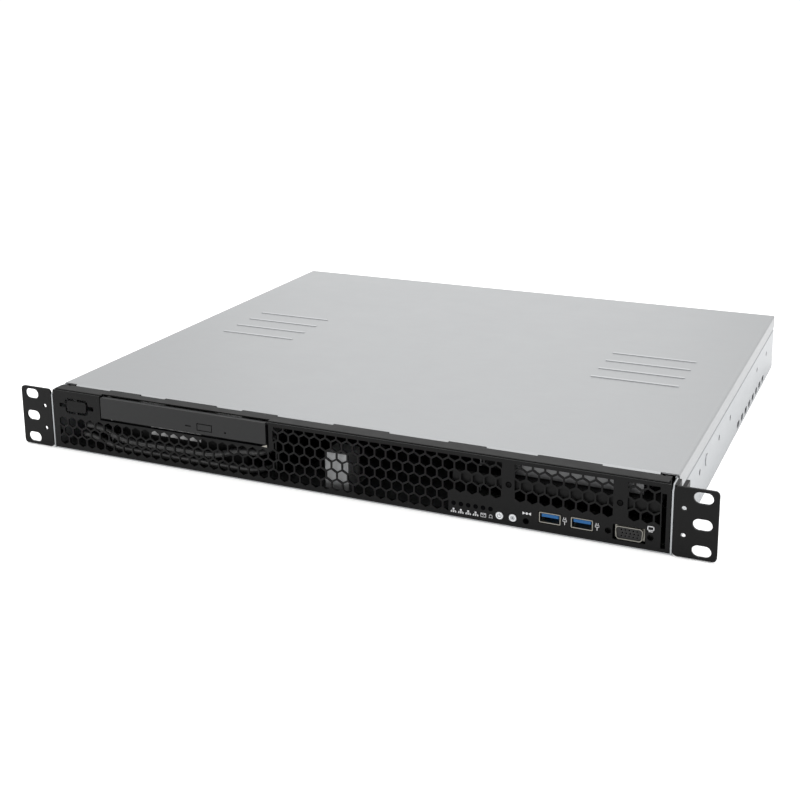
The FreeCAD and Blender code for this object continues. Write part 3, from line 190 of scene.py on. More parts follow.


def galvanised(name, tone, warm, rough, cloud=0.05, metal=0.75, limit=None, tone_above=0.0, axis=2):
    """Zinc-coated steel with cloudy patches and a rolled grain, of another tone above a limit."""
    steel = Finish(name, Metallic=metal)
    patches = steel.noise(PATCHES, 2.0)
    grain = steel.noise(GRAINS, 2.0, ROLLING)
    cells = steel.node("ShaderNodeTexVoronoi", {"feature": "F1"},
                       {"Vector": steel.place, "Scale": FLAKES}, out="Color")
    flake = steel.node("ShaderNodeRGBToBW", None, {0: cells})
    shade = patches * cloud + flake * (cloud * 0.45) + grain * (cloud * 0.5)
    color = steel.mix(shade / cloud * 0.5, grey(tone * (1 - cloud), warm), grey(tone * (1 + cloud), warm))
    if limit is not None:
        upper = steel.mix(patches, grey(tone_above * 0.95, warm), grey(tone_above * 1.05, warm))
        color = steel.mix(steel.axes()[axis] > limit, color, upper)
    steel.feed("Base Color", color)
    steel.feed("Roughness", rough + (patches - 0.5) * 0.08 + (grain - 0.5) * 0.06)
    steel.bump(grain + flake * 0.2, 0.00002, 0.35)
    return steel.material


# The crests of the cover's grip ribs are a lighter grey: painted highlight, with some rubbed wear.
cover_steel = galvanised("cover_steel", 0.334, -0.018, 0.46, 0.02, limit=RIB_HIGHLIGHT_HEIGHT, tone_above=0.43)
zinc_steel = galvanised("zinc_steel", 0.345, -0.030, 0.42, 0.05)
post_steel = galvanised("post_steel", 0.27, -0.012, 0.42, 0.05)
dark_topped_floor = galvanised("dark_topped_floor", 0.42, -0.020, 0.42, 0.05, limit=FLOOR_DARK_HEIGHT, tone_above=0.05)
drive_steel = galvanised("drive_steel", 0.22, 0.0, 0.40, 0.03, 0.9)
# The disk cradles lie in the shade behind the front vent, so they are darker copies of the zinc: painted
# shade. The left one is near black past its front tongue.
shaded_right_cradle_steel = galvanised("shaded_right_cradle_steel", 0.13, -0.01, 0.45, 0.05)
shaded_left_cradle_steel = galvanised("shaded_left_cradle_steel", 0.22, 0.0, 0.40, 0.03, 0.9, limit=TONGUE_END, tone_above=0.02,
                          axis=0)
print("seven kinds of sheet steel")

# %% [markdown]
# ## Black powder coat and plastics
# Powder coat is a thick paint baked from dust. It has a fine orange-peel skin that breaks up
# each highlight, so a bump from small noise does more for it than its colour. The drive's front
# is moulded plastic: a shade lighter, with an even spark-eroded grain.

# %% Paints and plastics
def skin_of(name, tone, rough, scale, depth, warm=0.0, **constants):
    """Paint or plastic of one tone with a fine skin and slightly uneven gloss."""
    skin = Finish(name, **constants)
    fine = skin.noise(scale, 2.0)
    broad = skin.noise(scale / 12.0, 2.0)
    skin.feed("Base Color", skin.mix(fine * 0.6 + broad * 0.4, grey(tone * 0.86, warm),
                                     grey(tone * 1.14, warm)))
    skin.feed("Roughness", rough + (broad - 0.5) * 0.12 + (fine - 0.5) * 0.06)
    skin.bump(fine, depth, 0.5)
    return skin.material


black_paint = skin_of("black_paint", 0.003, 0.46, 1500.0, 0.00004, -0.01, Specular_IOR_Level=0.13)
black_plastic = skin_of("black_plastic", 0.004, 0.45, 2600.0, 0.00002, 0.0, Specular_IOR_Level=0.15)
bezel_plastic = skin_of("bezel_plastic", 0.011, 0.42, 3000.0, 0.00002, -0.02, Specular_IOR_Level=0.22)
tray_plastic = skin_of("tray_plastic", 0.030, 0.34, 2200.0, 0.00002)
socket_plastic = skin_of("socket_plastic", 0.008, 0.42, 2200.0, 0.00002, 0.02, Specular_IOR_Level=0.26)
button_plastic = skin_of("button_plastic", 0.62, 0.30, 2400.0, 0.00001, -0.02)
sleeve = skin_of("sleeve", 0.034, 0.34, 1800.0, 0.00008)
black_oxide = skin_of("black_oxide", 0.006, 0.3, 1800.0, 0.00001, 0.0, Specular_IOR_Level=0.3)
screw_black = skin_of("screw_black", 0.002, 0.35, 1800.0, 0.00001, 0.0, Specular_IOR_Level=0.06)
print("paints and plastics")

# %% [markdown]
# ## Colours, inks and clear parts
# The tongues of the front sockets are blue, the lamps are dark until they are lit, and the air
# duct is clear. One flat colour would do for such small pieces, but moulded plastic and ink are
# never quite even. So the colour drifts a little, and a faint bump keeps the gloss alive. The
# clear duct is thin enough to need no glass: it only lets part of the light past.

# %% Coloured and clear plastics
def tinted(name, color, rough, **constants):
    """Plastic of one colour, slightly uneven."""
    plastic = Finish(name, Roughness=rough, **constants)
    drift = plastic.noise(500.0, 2.0)
    darker = tuple(c * 0.8 for c in color) + (1.0,)
    plastic.feed("Base Color", plastic.mix(drift, darker, (*color, 1.0)))
    plastic.bump(plastic.noise(2200.0, 1.0), 0.00001, 0.4)
    return plastic.material


blue_plastic = tinted("blue_plastic", (0.003, 0.088, 0.26), 0.4, Specular_IOR_Level=0.3)
lens_plastic = tinted("lens_plastic", (0.001, 0.001, 0.0015), 0.5, Specular_IOR_Level=0.02)
duct_plastic = tinted("duct_plastic", (0.72, 0.78, 0.80), 0.18, Alpha=0.35)
white_print = tinted("white_print", (0.58, 0.58, 0.59), 0.5)
# A deep black without gloss, for the gaps round holes and the sunk reset plunger: painted shade.
shade_black = tinted("shade_black", (0.0008, 0.0008, 0.001), 0.9, Specular_IOR_Level=0.0)
print("coloured plastics and inks")

# %% [markdown]
# ## Plated metals
# Socket shells are nickel, screws are bare steel, contacts are gold and pillars are brass. They
# differ in colour, and they share long fine scratches from handling. Scratches show in the gloss
# and not in the colour, so stretched noise goes into the roughness. The sockets for a monitor are
# two materials in one piece, so their colour is split by place, without cutting the mesh.

# %% Bare and plated metals
SCRATCHED = (1.0, 0.15, 1.0)  # scratches run from front to back


def plated(name, color, rough, scale=700.0):
    """A metal of one colour with fine scratches in its gloss."""
    metal_finish = Finish(name, Metallic=1.0)
    marks = metal_finish.noise(scale, 4.0, SCRATCHED)
    spots = metal_finish.noise(scale / 6.0, 2.0)
    darker = tuple(c * 0.82 for c in color) + (1.0,)
    metal_finish.feed("Base Color", metal_finish.mix(spots, darker, (*color, 1.0)))
    metal_finish.feed("Roughness", rough + (marks - 0.5) * 0.2)
    metal_finish.bump(marks, 0.000015, 0.3)
    return metal_finish.material


nickel = plated("nickel", (0.29, 0.28, 0.25), 0.32)
screw_steel = plated("screw_steel", (0.58, 0.58, 0.58), 0.24)
fin_aluminium = plated("fin_aluminium", (0.74, 0.75, 0.77), 0.3, 500.0)
brass = plated("brass", (0.72, 0.50, 0.20), 0.25)
gold = plated("gold", (0.85, 0.60, 0.22), 0.2)
print("bare and plated metals")

# %% Monitor sockets, which are of two materials each
# Half sizes of the D and of the core inside it, and how deep the core lies, in metres.
D_HALF_WIDTH = 0.0086
CORE_HALF_WIDTH = 0.0078
CORE_HALF_HEIGHT = 0.0037
CORE_SUNK = 0.0011


def monitor_shell(name, low, high):
    """Nickel-plated socket shell whose screw nuts, out beyond its D, are blackened."""
    shell = Finish(name, Metallic=1.0)
    x, _, _ = shell.axes()
    nuts = (x - (low.x + high.x) / 2).size() > D_HALF_WIDTH
    stain = shell.noise(900.0, 3.0)
    bright = shell.mix(stain, (0.19, 0.185, 0.165, 1), (0.27, 0.26, 0.235, 1))
    shell.feed("Base Color", shell.mix(nuts, bright, (0.006, 0.006, 0.006, 1)))
    shell.feed("Roughness", 0.28 + stain * 0.12)
    return shell.material


def cored_shell(name, low, high):
    """Nickel-plated monitor socket with a blue insulator down inside its D."""
    shell = Finish(name)
    x, y, z = shell.axes()
    across = (x - (low.x + high.x) / 2).size() < CORE_HALF_WIDTH
    upright = (z - (low.z + high.z) / 2).size() < CORE_HALF_HEIGHT
    core = across * upright * (y < high.y - CORE_SUNK)
    stain = shell.noise(900.0, 3.0)
    bright = shell.mix(stain, (0.24, 0.23, 0.20, 1), (0.30, 0.29, 0.26, 1))
    shell.feed("Base Color", shell.mix(core, bright, (0.010, 0.030, 0.16, 1)))
    shell.feed("Metallic", 1.0 - core)
    shell.feed("Roughness", 0.32 + stain * 0.1)
    return shell.material


shell_metal = monitor_shell("shell_metal", *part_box("vga_shell"))
rear_shell_metal = cored_shell("rear_shell_metal", *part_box("rear_monitor_socket"))
print("two monitor sockets")

# %% [markdown]
# ## Circuit boards
# A circuit board is glass cloth with copper lines under a coat of solder mask, and bare tinned
# dots where parts are soldered. Drawing every line would cost thousands of strokes for something
# seen through a vent. The joints of a brick pattern already run as such lines do, so they stand
# for the copper, broken up by noise, and the middles of Voronoi cells stand for the dots.

# %% Circuit board
def circuit(name, mask_tone, line_tone, tinned=(0.62, 0.58, 0.42, 1)):
    """Solder mask over copper lines, with tinned dots between them."""
    board = Finish(name, Roughness=0.35)
    lines = board.node("ShaderNodeTexBrick", {"offset": 0.5, "squash": 1.4},
                       {"Vector": board.place, "Scale": 210.0, "Mortar Size": 0.035,
                        "Color1": (0, 0, 0, 1), "Color2": (0, 0, 0, 1), "Mortar": (1, 1, 1, 1)})
    track = board.node("ShaderNodeRGBToBW", None, {0: lines})
    gaps = board.noise(60.0, 1.0) > 0.48
    dots = board.node("ShaderNodeTexVoronoi", {"feature": "F1"},
                      {"Vector": board.place, "Scale": 420.0}, out="Distance")
    pad = (dots < 0.16) * (board.noise(90.0, 1.0) > 0.52)
    mask = board.mix(track * gaps, mask_tone, line_tone)
    board.feed("Base Color", board.mix(pad, mask, tinned))
    board.bump(track * gaps + pad * 0.6, 0.00004, 0.5)
    return board.material


circuit_board = circuit("circuit_board", (0.006, 0.060, 0.022, 1), (0.020, 0.130, 0.048, 1))
dark_board = circuit("dark_board", (0.003, 0.004, 0.003, 1), (0.010, 0.012, 0.010, 1),
                     (0.10, 0.10, 0.08, 1))
print("solder mask ready")

# %% [markdown]
# ## Softening the CAD pieces
# A sheet that has been punched and bent has no perfectly sharp edge, and that thin line of light
# along each edge is what makes it read as metal. The frame's meshes may not be changed, so each
# outer piece gets a copy: its loose triangles are merged, flat areas are made whole again, and a
# Bevel modifier rounds what is left. The rounding must not tint the flat sheet beside it, so the
# largest face at each corner decides which way the surface faces there. The copy stands for the
# CAD piece and rides with its body.

# %% Copy a CAD piece and round its edges
MERGE_DISTANCE = 1e-6
FLAT_ANGLE = math.radians(0.4)
SHARP_ANGLE = math.radians(32.0)
EDGE_STEPS = 2
record = frame["record"]
body_of = {node: body for body, members in record["behaviour"]["bodies"].items() for node in members}


def merged_copy(node):
    """The CAD piece's mesh with its corners merged and its flat areas whole."""
    mesh = nodes[node].data.copy()
    shape = bmesh.new()
    shape.from_mesh(mesh)
    bmesh.ops.remove_doubles(shape, verts=shape.verts, dist=MERGE_DISTANCE)
    bmesh.ops.dissolve_limit(shape, angle_limit=FLAT_ANGLE, use_dissolve_boundaries=False,
                             verts=shape.verts, edges=shape.edges)
    shape.to_mesh(mesh)
    shape.free()
    return mesh


def dress(node, finish, edge):
    """A softened copy of a CAD piece, in its finish, riding on the same body. Its edge is in mm."""
    mesh = merged_copy(node)
    mesh.materials.clear()
    mesh.materials.append(finish)
    mesh.shade_smooth()
    mesh.set_sharp_from_angle(angle=SHARP_ANGLE)
    piece = bpy.data.objects.new(node + ".dressed", mesh)
    bpy.context.scene.collection.objects.link(piece)
    if edge > 0.0:
        bevel = piece.modifiers.new("edge", "BEVEL")
        bevel.width = edge * MM
        bevel.segments = EDGE_STEPS
        bevel.limit_method = "ANGLE"
        bevel.angle_limit = SHARP_ANGLE
        bevel.use_clamp_overlap = True
        flatten = piece.modifiers.new("flatten", "WEIGHTED_NORMAL")
        flatten.weight = 100
        flatten.keep_sharp = True
    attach(piece, body_of[node])
    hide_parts(node)


# %% The outer pieces
outer = {
    "chassis_floor": (dark_topped_floor, 0.2), "side_wall_left": (zinc_steel, 0.15),
    "side_wall_right": (zinc_steel, 0.15), "top_cover": (cover_steel, 0.25),
    "rear_panel": (zinc_steel, 0.15),
    "front_panel": (black_paint, 0.12), "front_top_rail": (black_paint, 0.15),
    "rack_ear_left": (black_paint, 0.25), "rack_ear_right": (black_paint, 0.25),
    "drive_bezel": (bezel_plastic, 0.3), "eject_button": (bezel_plastic, 0.2),
    "power_button": (button_plastic, 0.1), "locate_button": (button_plastic, 0.1),
    "usb_shells": (nickel, 0.1), "vga_shell": (shell_metal, 0.12),
    "usb_tongues": (blue_plastic, 0.12), "vga_insert": (socket_plastic, 0.0),
    "slot_cover": (zinc_steel, 0.12), "psu_inlet": (black_plastic, 0.2),
    "lan_ports": (nickel, 0.12), "rear_usb_stack": (nickel, 0.12),
    "rear_monitor_socket": (rear_shell_metal, 0.12),
    "thumb_screw_left": (screw_steel, 0.08), "thumb_screw_right": (screw_steel, 0.08),
    "support_post": (post_steel, 0.15), "front_brace": (black_paint, 0.12),
}
for node, (finish, edge) in outer.items():
    dress(node, finish, edge)
print(len(outer), "outer pieces softened")

# %% The inner pieces keep their CAD shape
inner = {
    "ear_screws": black_oxide, "panel_screws": screw_black, "front_io_board": dark_board,
    # the reset plunger, deep in its pinhole, is painted shade black
    "reset_button": shade_black, "light_pipes": lens_plastic,
    "drive_case": drive_steel, "disc_tray": tray_plastic, "disc_hub": tray_plastic,
    "disk_left": black_paint, "disk_right": black_paint,
    "disk_cradle_left": shaded_left_cradle_steel, "disk_cradle_right": shaded_right_cradle_steel, "drive_cables": sleeve,
    "fan_frame_left": black_plastic, "fan_frame_right": black_plastic, "psu_fan_frame": black_plastic,
    "fan_rotor_left": black_plastic, "fan_rotor_right": black_plastic, "psu_fan_rotor": black_plastic,
    "fan_bracket": zinc_steel, "psu_case": zinc_steel, "inlet_pins": brass,
    "main_board": circuit_board, "board_pillars": brass, "board_screws": screw_steel,
    "cpu_socket": drive_steel, "processor": nickel, "heatsink": fin_aluminium,
    "heatsink_screws": screw_steel, "air_duct": duct_plastic, "memory_sockets": black_plastic,
    "memory_modules": circuit_board, "riser_card": circuit_board, "power_cable": sleeve,
}
for node, finish in inner.items():
    nodes[node].data.materials.clear()
    nodes[node].data.materials.append(finish)
left_over = sorted(set(nodes) - set(outer) - set(inner))
print(len(inner), "inner pieces finished, left over:", left_over)

# %% [markdown]
# ## Printed marks
# The white signs beside lamps, buttons and sockets are screen printed: a layer of ink thinner
# than a hair. A picture could carry them, but real geometry stays sharp at any distance, so each
# sign is a few flat strokes, cut as thin closed plates and laid on the panel. They are the signs
# that any machine has: a network tree, an envelope, a disk, a reset mark, a plug and a monitor.

# %% Flat strokes for signs
INK = 0.05       # thickness of the white ink on the panel, in mm
KEY_INK = 0.03   # of the grey ink on the buttons
RIM_INK = 0.02   # of a dark rim
GLINT_INK = 0.04  # of the painted glint at the drive's corner
ROOT = 0.02      # how far each of them reaches into what carries it


class Sign:
    """Flat shapes in one upright plane, in millimetres around a centre, facing the front."""

    def __init__(self, x, y, z, ink=INK):
        self.origin = (x, y, z)
        self.ink = ink
        self.loops = []

    def shape(self, points):
        self.loops.append(points)
        return self

    def block(self, x0, x1, z0, z1):
        return self.shape([(x0, z0), (x1, z0), (x1, z1), (x0, z1)])

    def line(self, a, b, width=0.4):
        """A straight stroke between two points."""
        run = Vector((b[0] - a[0], b[1] - a[1])).normalized() * width / 2
        side = Vector((-run.y, run.x))
        ends = [Vector(a) - run, Vector(b) + run]
        return self.shape([tuple(ends[0] - side), tuple(ends[1] - side),
                           tuple(ends[1] + side), tuple(ends[0] + side)])

    def frame(self, x0, x1, z0, z1, width=0.4):
        """The outline of a rectangle."""
        corners = [(x0, z0), (x1, z0), (x1, z1), (x0, z1)]
        for k in range(4):
            self.line(corners[k], corners[(k + 1) % 4], width)
        return self

    def arc(self, radius, start, end, width=0.4, steps=20):
        """Part of a ring, between two angles in degrees."""
        turns = [math.radians(start + (end - start) * k / steps) for k in range(steps + 1)]
        outer = [((radius + width / 2) * math.cos(t), (radius + width / 2) * math.sin(t)) for t in turns]
        inner = [((radius - width / 2) * math.cos(t), (radius - width / 2) * math.sin(t)) for t in turns]
        for k in range(steps):
            self.shape([inner[k], outer[k], outer[k + 1], inner[k + 1]])
        return self

    def dot(self, x, z, radius, steps=16):
        turns = [2 * math.pi * k / steps for k in range(steps)]
        return self.shape([(x + radius * math.cos(t), z + radius * math.sin(t)) for t in turns])

    def add_to(self, shape):
        """Cut every loop as a thin closed plate into a bmesh."""
        x, y, z = self.origin
        for points in self.loops:
            front = [shape.verts.new(((x + a) * MM, (y - self.ink) * MM, (z + b) * MM)) for a, b in points]
            rear = [shape.verts.new(((x + a) * MM, (y + ROOT) * MM, (z + b) * MM)) for a, b in points]
            shape.faces.new(front)
            shape.faces.new(list(reversed(rear)))
            for k in range(len(points)):
                n = (k + 1) % len(points)
                shape.faces.new((front[k], rear[k], rear[n], front[n]))


def print_signs(name, signs, ink, body):
    """One piece out of several signs, riding on a body."""
    shape = bmesh.new()
    for sign in signs:
        sign.add_to(shape)
    bmesh.ops.recalc_face_normals(shape, faces=shape.faces)
    mesh = bpy.data.meshes.new(name)
    shape.to_mesh(mesh)
    shape.free()
    mesh.materials.append(ink)
    piece = bpy.data.objects.new(name, mesh)
    bpy.context.scene.collection.objects.link(piece)
    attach(piece, body)


def centre(node):
    """The middle of a CAD piece, in millimetres."""
    low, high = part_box(node)
    return [(a + b) / 2 / MM for a, b in zip(low, high)]


print("ink is", INK, "mm thick")

# %% Signs on the front panel
LAMPS = 6
LAMP_RADIUS = 1.0
SOCKET_PITCH = 19.35
PLUG_ASIDE, PLUG_UP = 2.6, 1.2        # a plug sign, from the middle of its socket's right edge
SCREEN_ASIDE, SCREEN_UP = 12.4, 13.9  # the screen sign, from its socket's middle and the floor
panel_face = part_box("front_panel")[0].y / MM
lamps_low, lamps_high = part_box("light_pipes")
lamp_first = lamps_low.x / MM + LAMP_RADIUS
lamp_last = lamps_high.x / MM - LAMP_RADIUS
lamp_row = [lamp_first + (lamp_last - lamp_first) * k / (LAMPS - 1) for k in range(LAMPS)]
sign_z = 4.8


def network_tree(x):
    """A node joined to three nodes below it."""
    tree = Sign(x, panel_face, sign_z)
    tree.block(-0.55, 0.55, 0.35, 1.35).line((0, 0.4), (0, -0.2), 0.26)
    tree.line((-1.35, -0.2), (1.35, -0.2), 0.26)
    for a in (-1.35, 0.0, 1.35):
        tree.line((a, -0.2), (a, -0.6), 0.26).block(a - 0.42, a + 0.42, -1.35, -0.55)
    return tree


signs = [network_tree(x) for x in lamp_row[:4]]
signs.append(Sign(lamp_row[4] + 0.2, panel_face, sign_z).frame(-1.6, 1.6, -1.15, 1.15, 0.28)
             .line((-1.5, 1.05), (0, -0.1), 0.28).line((0, -0.1), (1.5, 1.05), 0.28))
signs.append(Sign(lamp_row[5] + 0.2, panel_face, sign_z).arc(0.95, 0, 180, 0.26)
             .line((-0.95, 0), (-0.95, -1.2), 0.26).line((0.95, 0), (0.95, -1.2), 0.26)
             .arc(0.95, 180, 360, 0.26).line((-0.5, -0.9), (0.5, -0.9), 0.26))
reset_x, _, reset_z = centre("reset_button")
signs.append(Sign(reset_x + 0.5, panel_face, reset_z + 5.0).shape([(-2.6, -0.95), (-0.9, 0.0), (-2.6, 0.95)])
             .shape([(2.6, 0.95), (0.9, 0.0), (2.6, -0.95)]).dot(0, 0, 0.75))


def plug(x, z):
    """A plug with its lead: two prongs, a body and a cord."""
    sign = Sign(x, panel_face, z)
    sign.line((-0.6, 0.9), (-0.6, 2.1), 0.32).line((0.6, 0.9), (0.6, 2.1), 0.32)
    sign.frame(-1.1, 1.1, -0.3, 0.9, 0.3)
    return sign.line((0, -0.3), (0, -2.2), 0.35)


usb_low, usb_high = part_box("usb_shells")
usb_z = (usb_low.z + usb_high.z) / 2 / MM
for socket_edge in (usb_high.x / MM, usb_high.x / MM - SOCKET_PITCH):
    signs.append(plug(socket_edge + PLUG_ASIDE, usb_z + PLUG_UP))
vga_x, _, _ = centre("vga_insert")
signs.append(Sign(vga_x + SCREEN_ASIDE, panel_face, SCREEN_UP).frame(-1.7, 1.7, -0.8, 1.5, 0.5)
             .line((0, -0.9), (0, -1.4), 0.5).line((-0.9, -1.6), (0.9, -1.6), 0.4))
print_signs("front_marks", signs, white_print, "chassis")
print(len(signs), "signs on the panel")

# %% [markdown]
# ## Shadow gaps
# A lamp, a screw or a drive front never quite fills its hole, and hardly any light comes back out
# of the gap round it. The gaps could be cut wider, but the CAD meshes stay as they are. So each
# gap gets a flat rim of deep black, thinner than the print of the signs: painted shade. At the
# drive's lower right corner its steel case catches the light, and a small bright nickel plate
# laid on the panel there stands for it: a painted glint.

# %% Dark rims round the lamps, the small screws, the reset hole and the drive
SCREW_RADIUS = 1.4
LAMP_RIM, RESET_RIM, SCREW_RIM = 1.2, 1.6, 1.65  # middle radius of each rim
GAP_NEAR, GAP_FAR = 1.0, 2.0                     # the drive's gap, from the edges of its front
GAP_FOOT, GAP_TOP = 1.8, 0.6                     # how far it reaches down, and stops short above


def ring(x, z, radius, width=0.5):
    """A dark rim on the panel."""
    return Sign(x, panel_face, z, RIM_INK).arc(radius, 0, 360, width)


rims = [ring(x, lamps_high.z / MM - LAMP_RADIUS, LAMP_RIM) for x in lamp_row]
rims.append(ring(reset_x, reset_z, RESET_RIM, 0.6))
screw_low, screw_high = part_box("panel_screws")
for x in (screw_low.x / MM + SCREW_RADIUS, screw_high.x / MM - SCREW_RADIUS):
    rims.append(ring(x, screw_high.z / MM - SCREW_RADIUS, SCREW_RIM))
drive_low, drive_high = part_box("drive_bezel")
left, bottom, right, top = [v / MM for v in (drive_low.x, drive_low.z, drive_high.x, drive_high.z)]
gap = Sign(0.0, panel_face, 0.0, RIM_INK)
gap.block(left - GAP_NEAR, right + GAP_FAR, bottom - GAP_FOOT, bottom - GAP_NEAR)
gap.block(right + GAP_NEAR, right + GAP_FAR, bottom - GAP_NEAR, top - GAP_TOP)
rims.append(gap)
print_signs("dark_rims", rims, shade_black, "chassis")
# A small bright nickel plate at the drive's lower right corner: a painted glint of its steel case.
corner = Sign(right, panel_face, bottom, GLINT_INK)
corner.shape([(-3.4, -1.7), (0.7, -1.9), (0.7, -0.2), (-0.4, -0.6)])
print_signs("drive_corner_glint", [corner], nickel, "chassis")
print(len(rims), "dark rims and the drive's corner")

# %% [markdown]
# ## Signs that move
# The standby and locate signs are printed on the buttons themselves. A sign on the panel would
# stay behind when its button is pressed, so each of these is a piece of its own that rides on
# the button's body. Their ink is grey, because they have to show on white caps.

# %% Signs on the two round buttons
power_x, _, power_z = centre("power_button")
locate_x, _, locate_z = centre("locate_button")
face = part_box("power_button")[0].y / MM
standby = Sign(power_x, face, power_z, KEY_INK).arc(1.2, 125, 415, 0.42).line((0, 0.3), (0, 1.5), 0.42)
finder = Sign(locate_x, face, locate_z, KEY_INK).arc(1.2, 0, 360, 0.3).dot(0, 0, 0.75)
grey_print = tinted("grey_print", (0.16, 0.17, 0.18), 0.5)
print_signs("power_sign", [standby], grey_print, "power_key")
print_signs("locate_sign", [finder], grey_print, "locate_key")
print("standby and locate signs")

# %% [markdown]
# ## Small things that repeat
# Contacts, rivets, knurls and board parts are the same little shape many times over. Geometry
# Nodes keeps one copy of the shape and a rule for where it goes, so a row of ten or of three
# hundred is the same short tree. Pattern builds such a tree in code. Its sizes are named inputs,
# the points come from the mesh that carries the modifier, and the result is turned into a plain
# mesh, because an export knows nothing of instances.

# %% A Geometry Nodes tree with named sizes
class Pattern:
    """A tree that repeats a shape on the points of a mesh."""

    def __init__(self, name, **sizes):
        self.tree = bpy.data.node_groups.new(name, "GeometryNodeTree")
        sockets = self.tree.interface
        sockets.new_socket("Points", in_out="INPUT", socket_type="NodeSocketGeometry")
        sockets.new_socket("Geometry", in_out="OUTPUT", socket_type="NodeSocketGeometry")
        kinds = {int: "NodeSocketInt", float: "NodeSocketFloat", tuple: "NodeSocketVector"}
        self.identifiers = {}
        for key, value in sizes.items():
            socket = sockets.new_socket(key, in_out="INPUT", socket_type=kinds[type(value)])
            socket.default_value = value
            self.identifiers[key] = socket.identifier
        self.given = self.tree.nodes.new("NodeGroupInput")
        self.result = self.tree.nodes.new("NodeGroupOutput")

    def size(self, key):
        return self.given.outputs[key]

    def node(self, kind, settings=None, inputs=None, out=0):
        """Add a node: its settings first, then the values or links of its sockets."""
        made = self.tree.nodes.new(kind)
        for key, value in (settings or {}).items():
            setattr(made, key, value)
        for key, value in (inputs or {}).items():
            if isinstance(value, bpy.types.NodeSocket):
                self.tree.links.new(value, made.inputs[key])
            else:
                made.inputs[key].default_value = value
        return made.outputs[out]

    def end(self, geometry, finish):
        """Close the tree: real meshes in place of instances, then the finish."""
        real = self.node("GeometryNodeRealizeInstances", None, {0: geometry})
        painted = self.node("GeometryNodeSetMaterial", None, {"Geometry": real, "Material": finish})
        self.tree.links.new(painted, self.result.inputs[0])
        self.finish = finish
        return self

    def grow(self, name, spots, body, slot, **values):
        """Run the tree on a list of points and keep the result as one plain piece."""
        dots = bpy.data.meshes.new(name + ".dots")
        dots.from_pydata([Vector(p) * MM for p in spots], [], [])
        carrier = bpy.data.objects.new(name + ".carrier", dots)
        bpy.context.scene.collection.objects.link(carrier)
        modifier = carrier.modifiers.new("pattern", "NODES")
        modifier.node_group = self.tree
        for key, value in values.items():
            modifier[self.identifiers[key]] = value
        seen = carrier.evaluated_get(bpy.context.evaluated_depsgraph_get())
        mesh = bpy.data.meshes.new_from_object(seen)
        mesh.name = name
        carrier.modifiers.clear()
        bpy.data.objects.remove(carrier)
        mesh.materials.clear()
        mesh.materials.append(self.finish)
        piece = bpy.data.objects.new(name, mesh)
        bpy.context.scene.collection.objects.link(piece)
        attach(piece, body)
        print(name, len(spots), "points,", len(mesh.polygons), "faces")


def blocks(name, finish):
    """A pattern of small blocks, of one size and all upright."""
    pattern = Pattern(name, Size=(1.0, 1.0, 1.0))
    block = pattern.node("GeometryNodeMeshCube", None, {"Size": pattern.size("Size")})
    placed = pattern.node("GeometryNodeInstanceOnPoints", None,
                          {"Points": pattern.size("Points"), "Instance": block})
    return pattern.end(placed, finish)


def size_mm(x, y, z):
    return (x * MM, y * MM, z * MM)


gold_blocks = blocks("gold_blocks", gold)
print("the first pattern is", gold_blocks.tree.name)

# %% Contacts in the front sockets
TONGUE_HALF = 5.2                    # half a tongue's width
CONTACTS_UNDER = 2.05                # how far below the tongue's top they lie
CONTACTS_IN = 5.4                    # how far behind the panel their middles are
CONTACTS = (-3.5, -1.0, 1.0, 3.5)    # from the tongue's middle
tongue_low, tongue_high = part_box("usb_tongues")
under = tongue_high.z / MM - CONTACTS_UNDER
contacts = []
for x in (tongue_low.x / MM + TONGUE_HALF, tongue_high.x / MM - TONGUE_HALF):
    contacts += [(x + dx, panel_face + CONTACTS_IN, under) for dx in CONTACTS]
gold_blocks.grow("usb_contacts", contacts, "chassis", "brass", Size=size_mm(1.0, 7.0, 0.12))

# %% Contacts in the network sockets
NETWORK_HALF = 8.0         # half a socket's width
PINS, PIN_PITCH = 8, 1.02
PINS_IN, PINS_UP = 7.0, 3.2  # from the socket's rear and its lower edge
lan_low, lan_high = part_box("lan_ports")
network_middles = (lan_low.x / MM + NETWORK_HALF, lan_high.x / MM - NETWORK_HALF)
pins = []
for x in network_middles:
    pins += [(x + PIN_PITCH * (k - (PINS - 1) / 2), lan_high.y / MM - PINS_IN, lan_low.z / MM + PINS_UP)
             for k in range(PINS)]
gold_blocks.grow("network_contacts", pins, "chassis", "brass", Size=size_mm(0.4, 9.0, 0.3))

# %% Lamps in the corners of the network sockets
lamp_green = tinted("lamp_green", (0.10, 0.34, 0.08), 0.25, Coat_Weight=0.4)
lamp_amber = tinted("lamp_amber", (0.55, 0.26, 0.03), 0.25, Coat_Weight=0.4)
CORNER_ASIDE, CORNER_UP = 5.9, 11.6  # a lamp, from the socket's middle and its lower edge
for name, finish, side in (("link_lamps", lamp_green, -1), ("traffic_lamps", lamp_amber, 1)):
    spots = [(x + side * CORNER_ASIDE, lan_high.y / MM + 0.02, lan_low.z / MM + CORNER_UP)
             for x in network_middles]
    blocks(name, finish).grow(name, spots, "chassis", "lens_plastic", Size=size_mm(2.6, 0.3, 1.3))

# %% [markdown]
# ## Grips and rivets at the rear
# The thumb screws have ridged grips, and the rear panel is held by domed rivets. A ridge cut by
# hand would have to be turned and copied thirty-six times. A circle with one thin bar on each of
# its points makes the whole grip, and one flattened ball on each point makes the rivets.

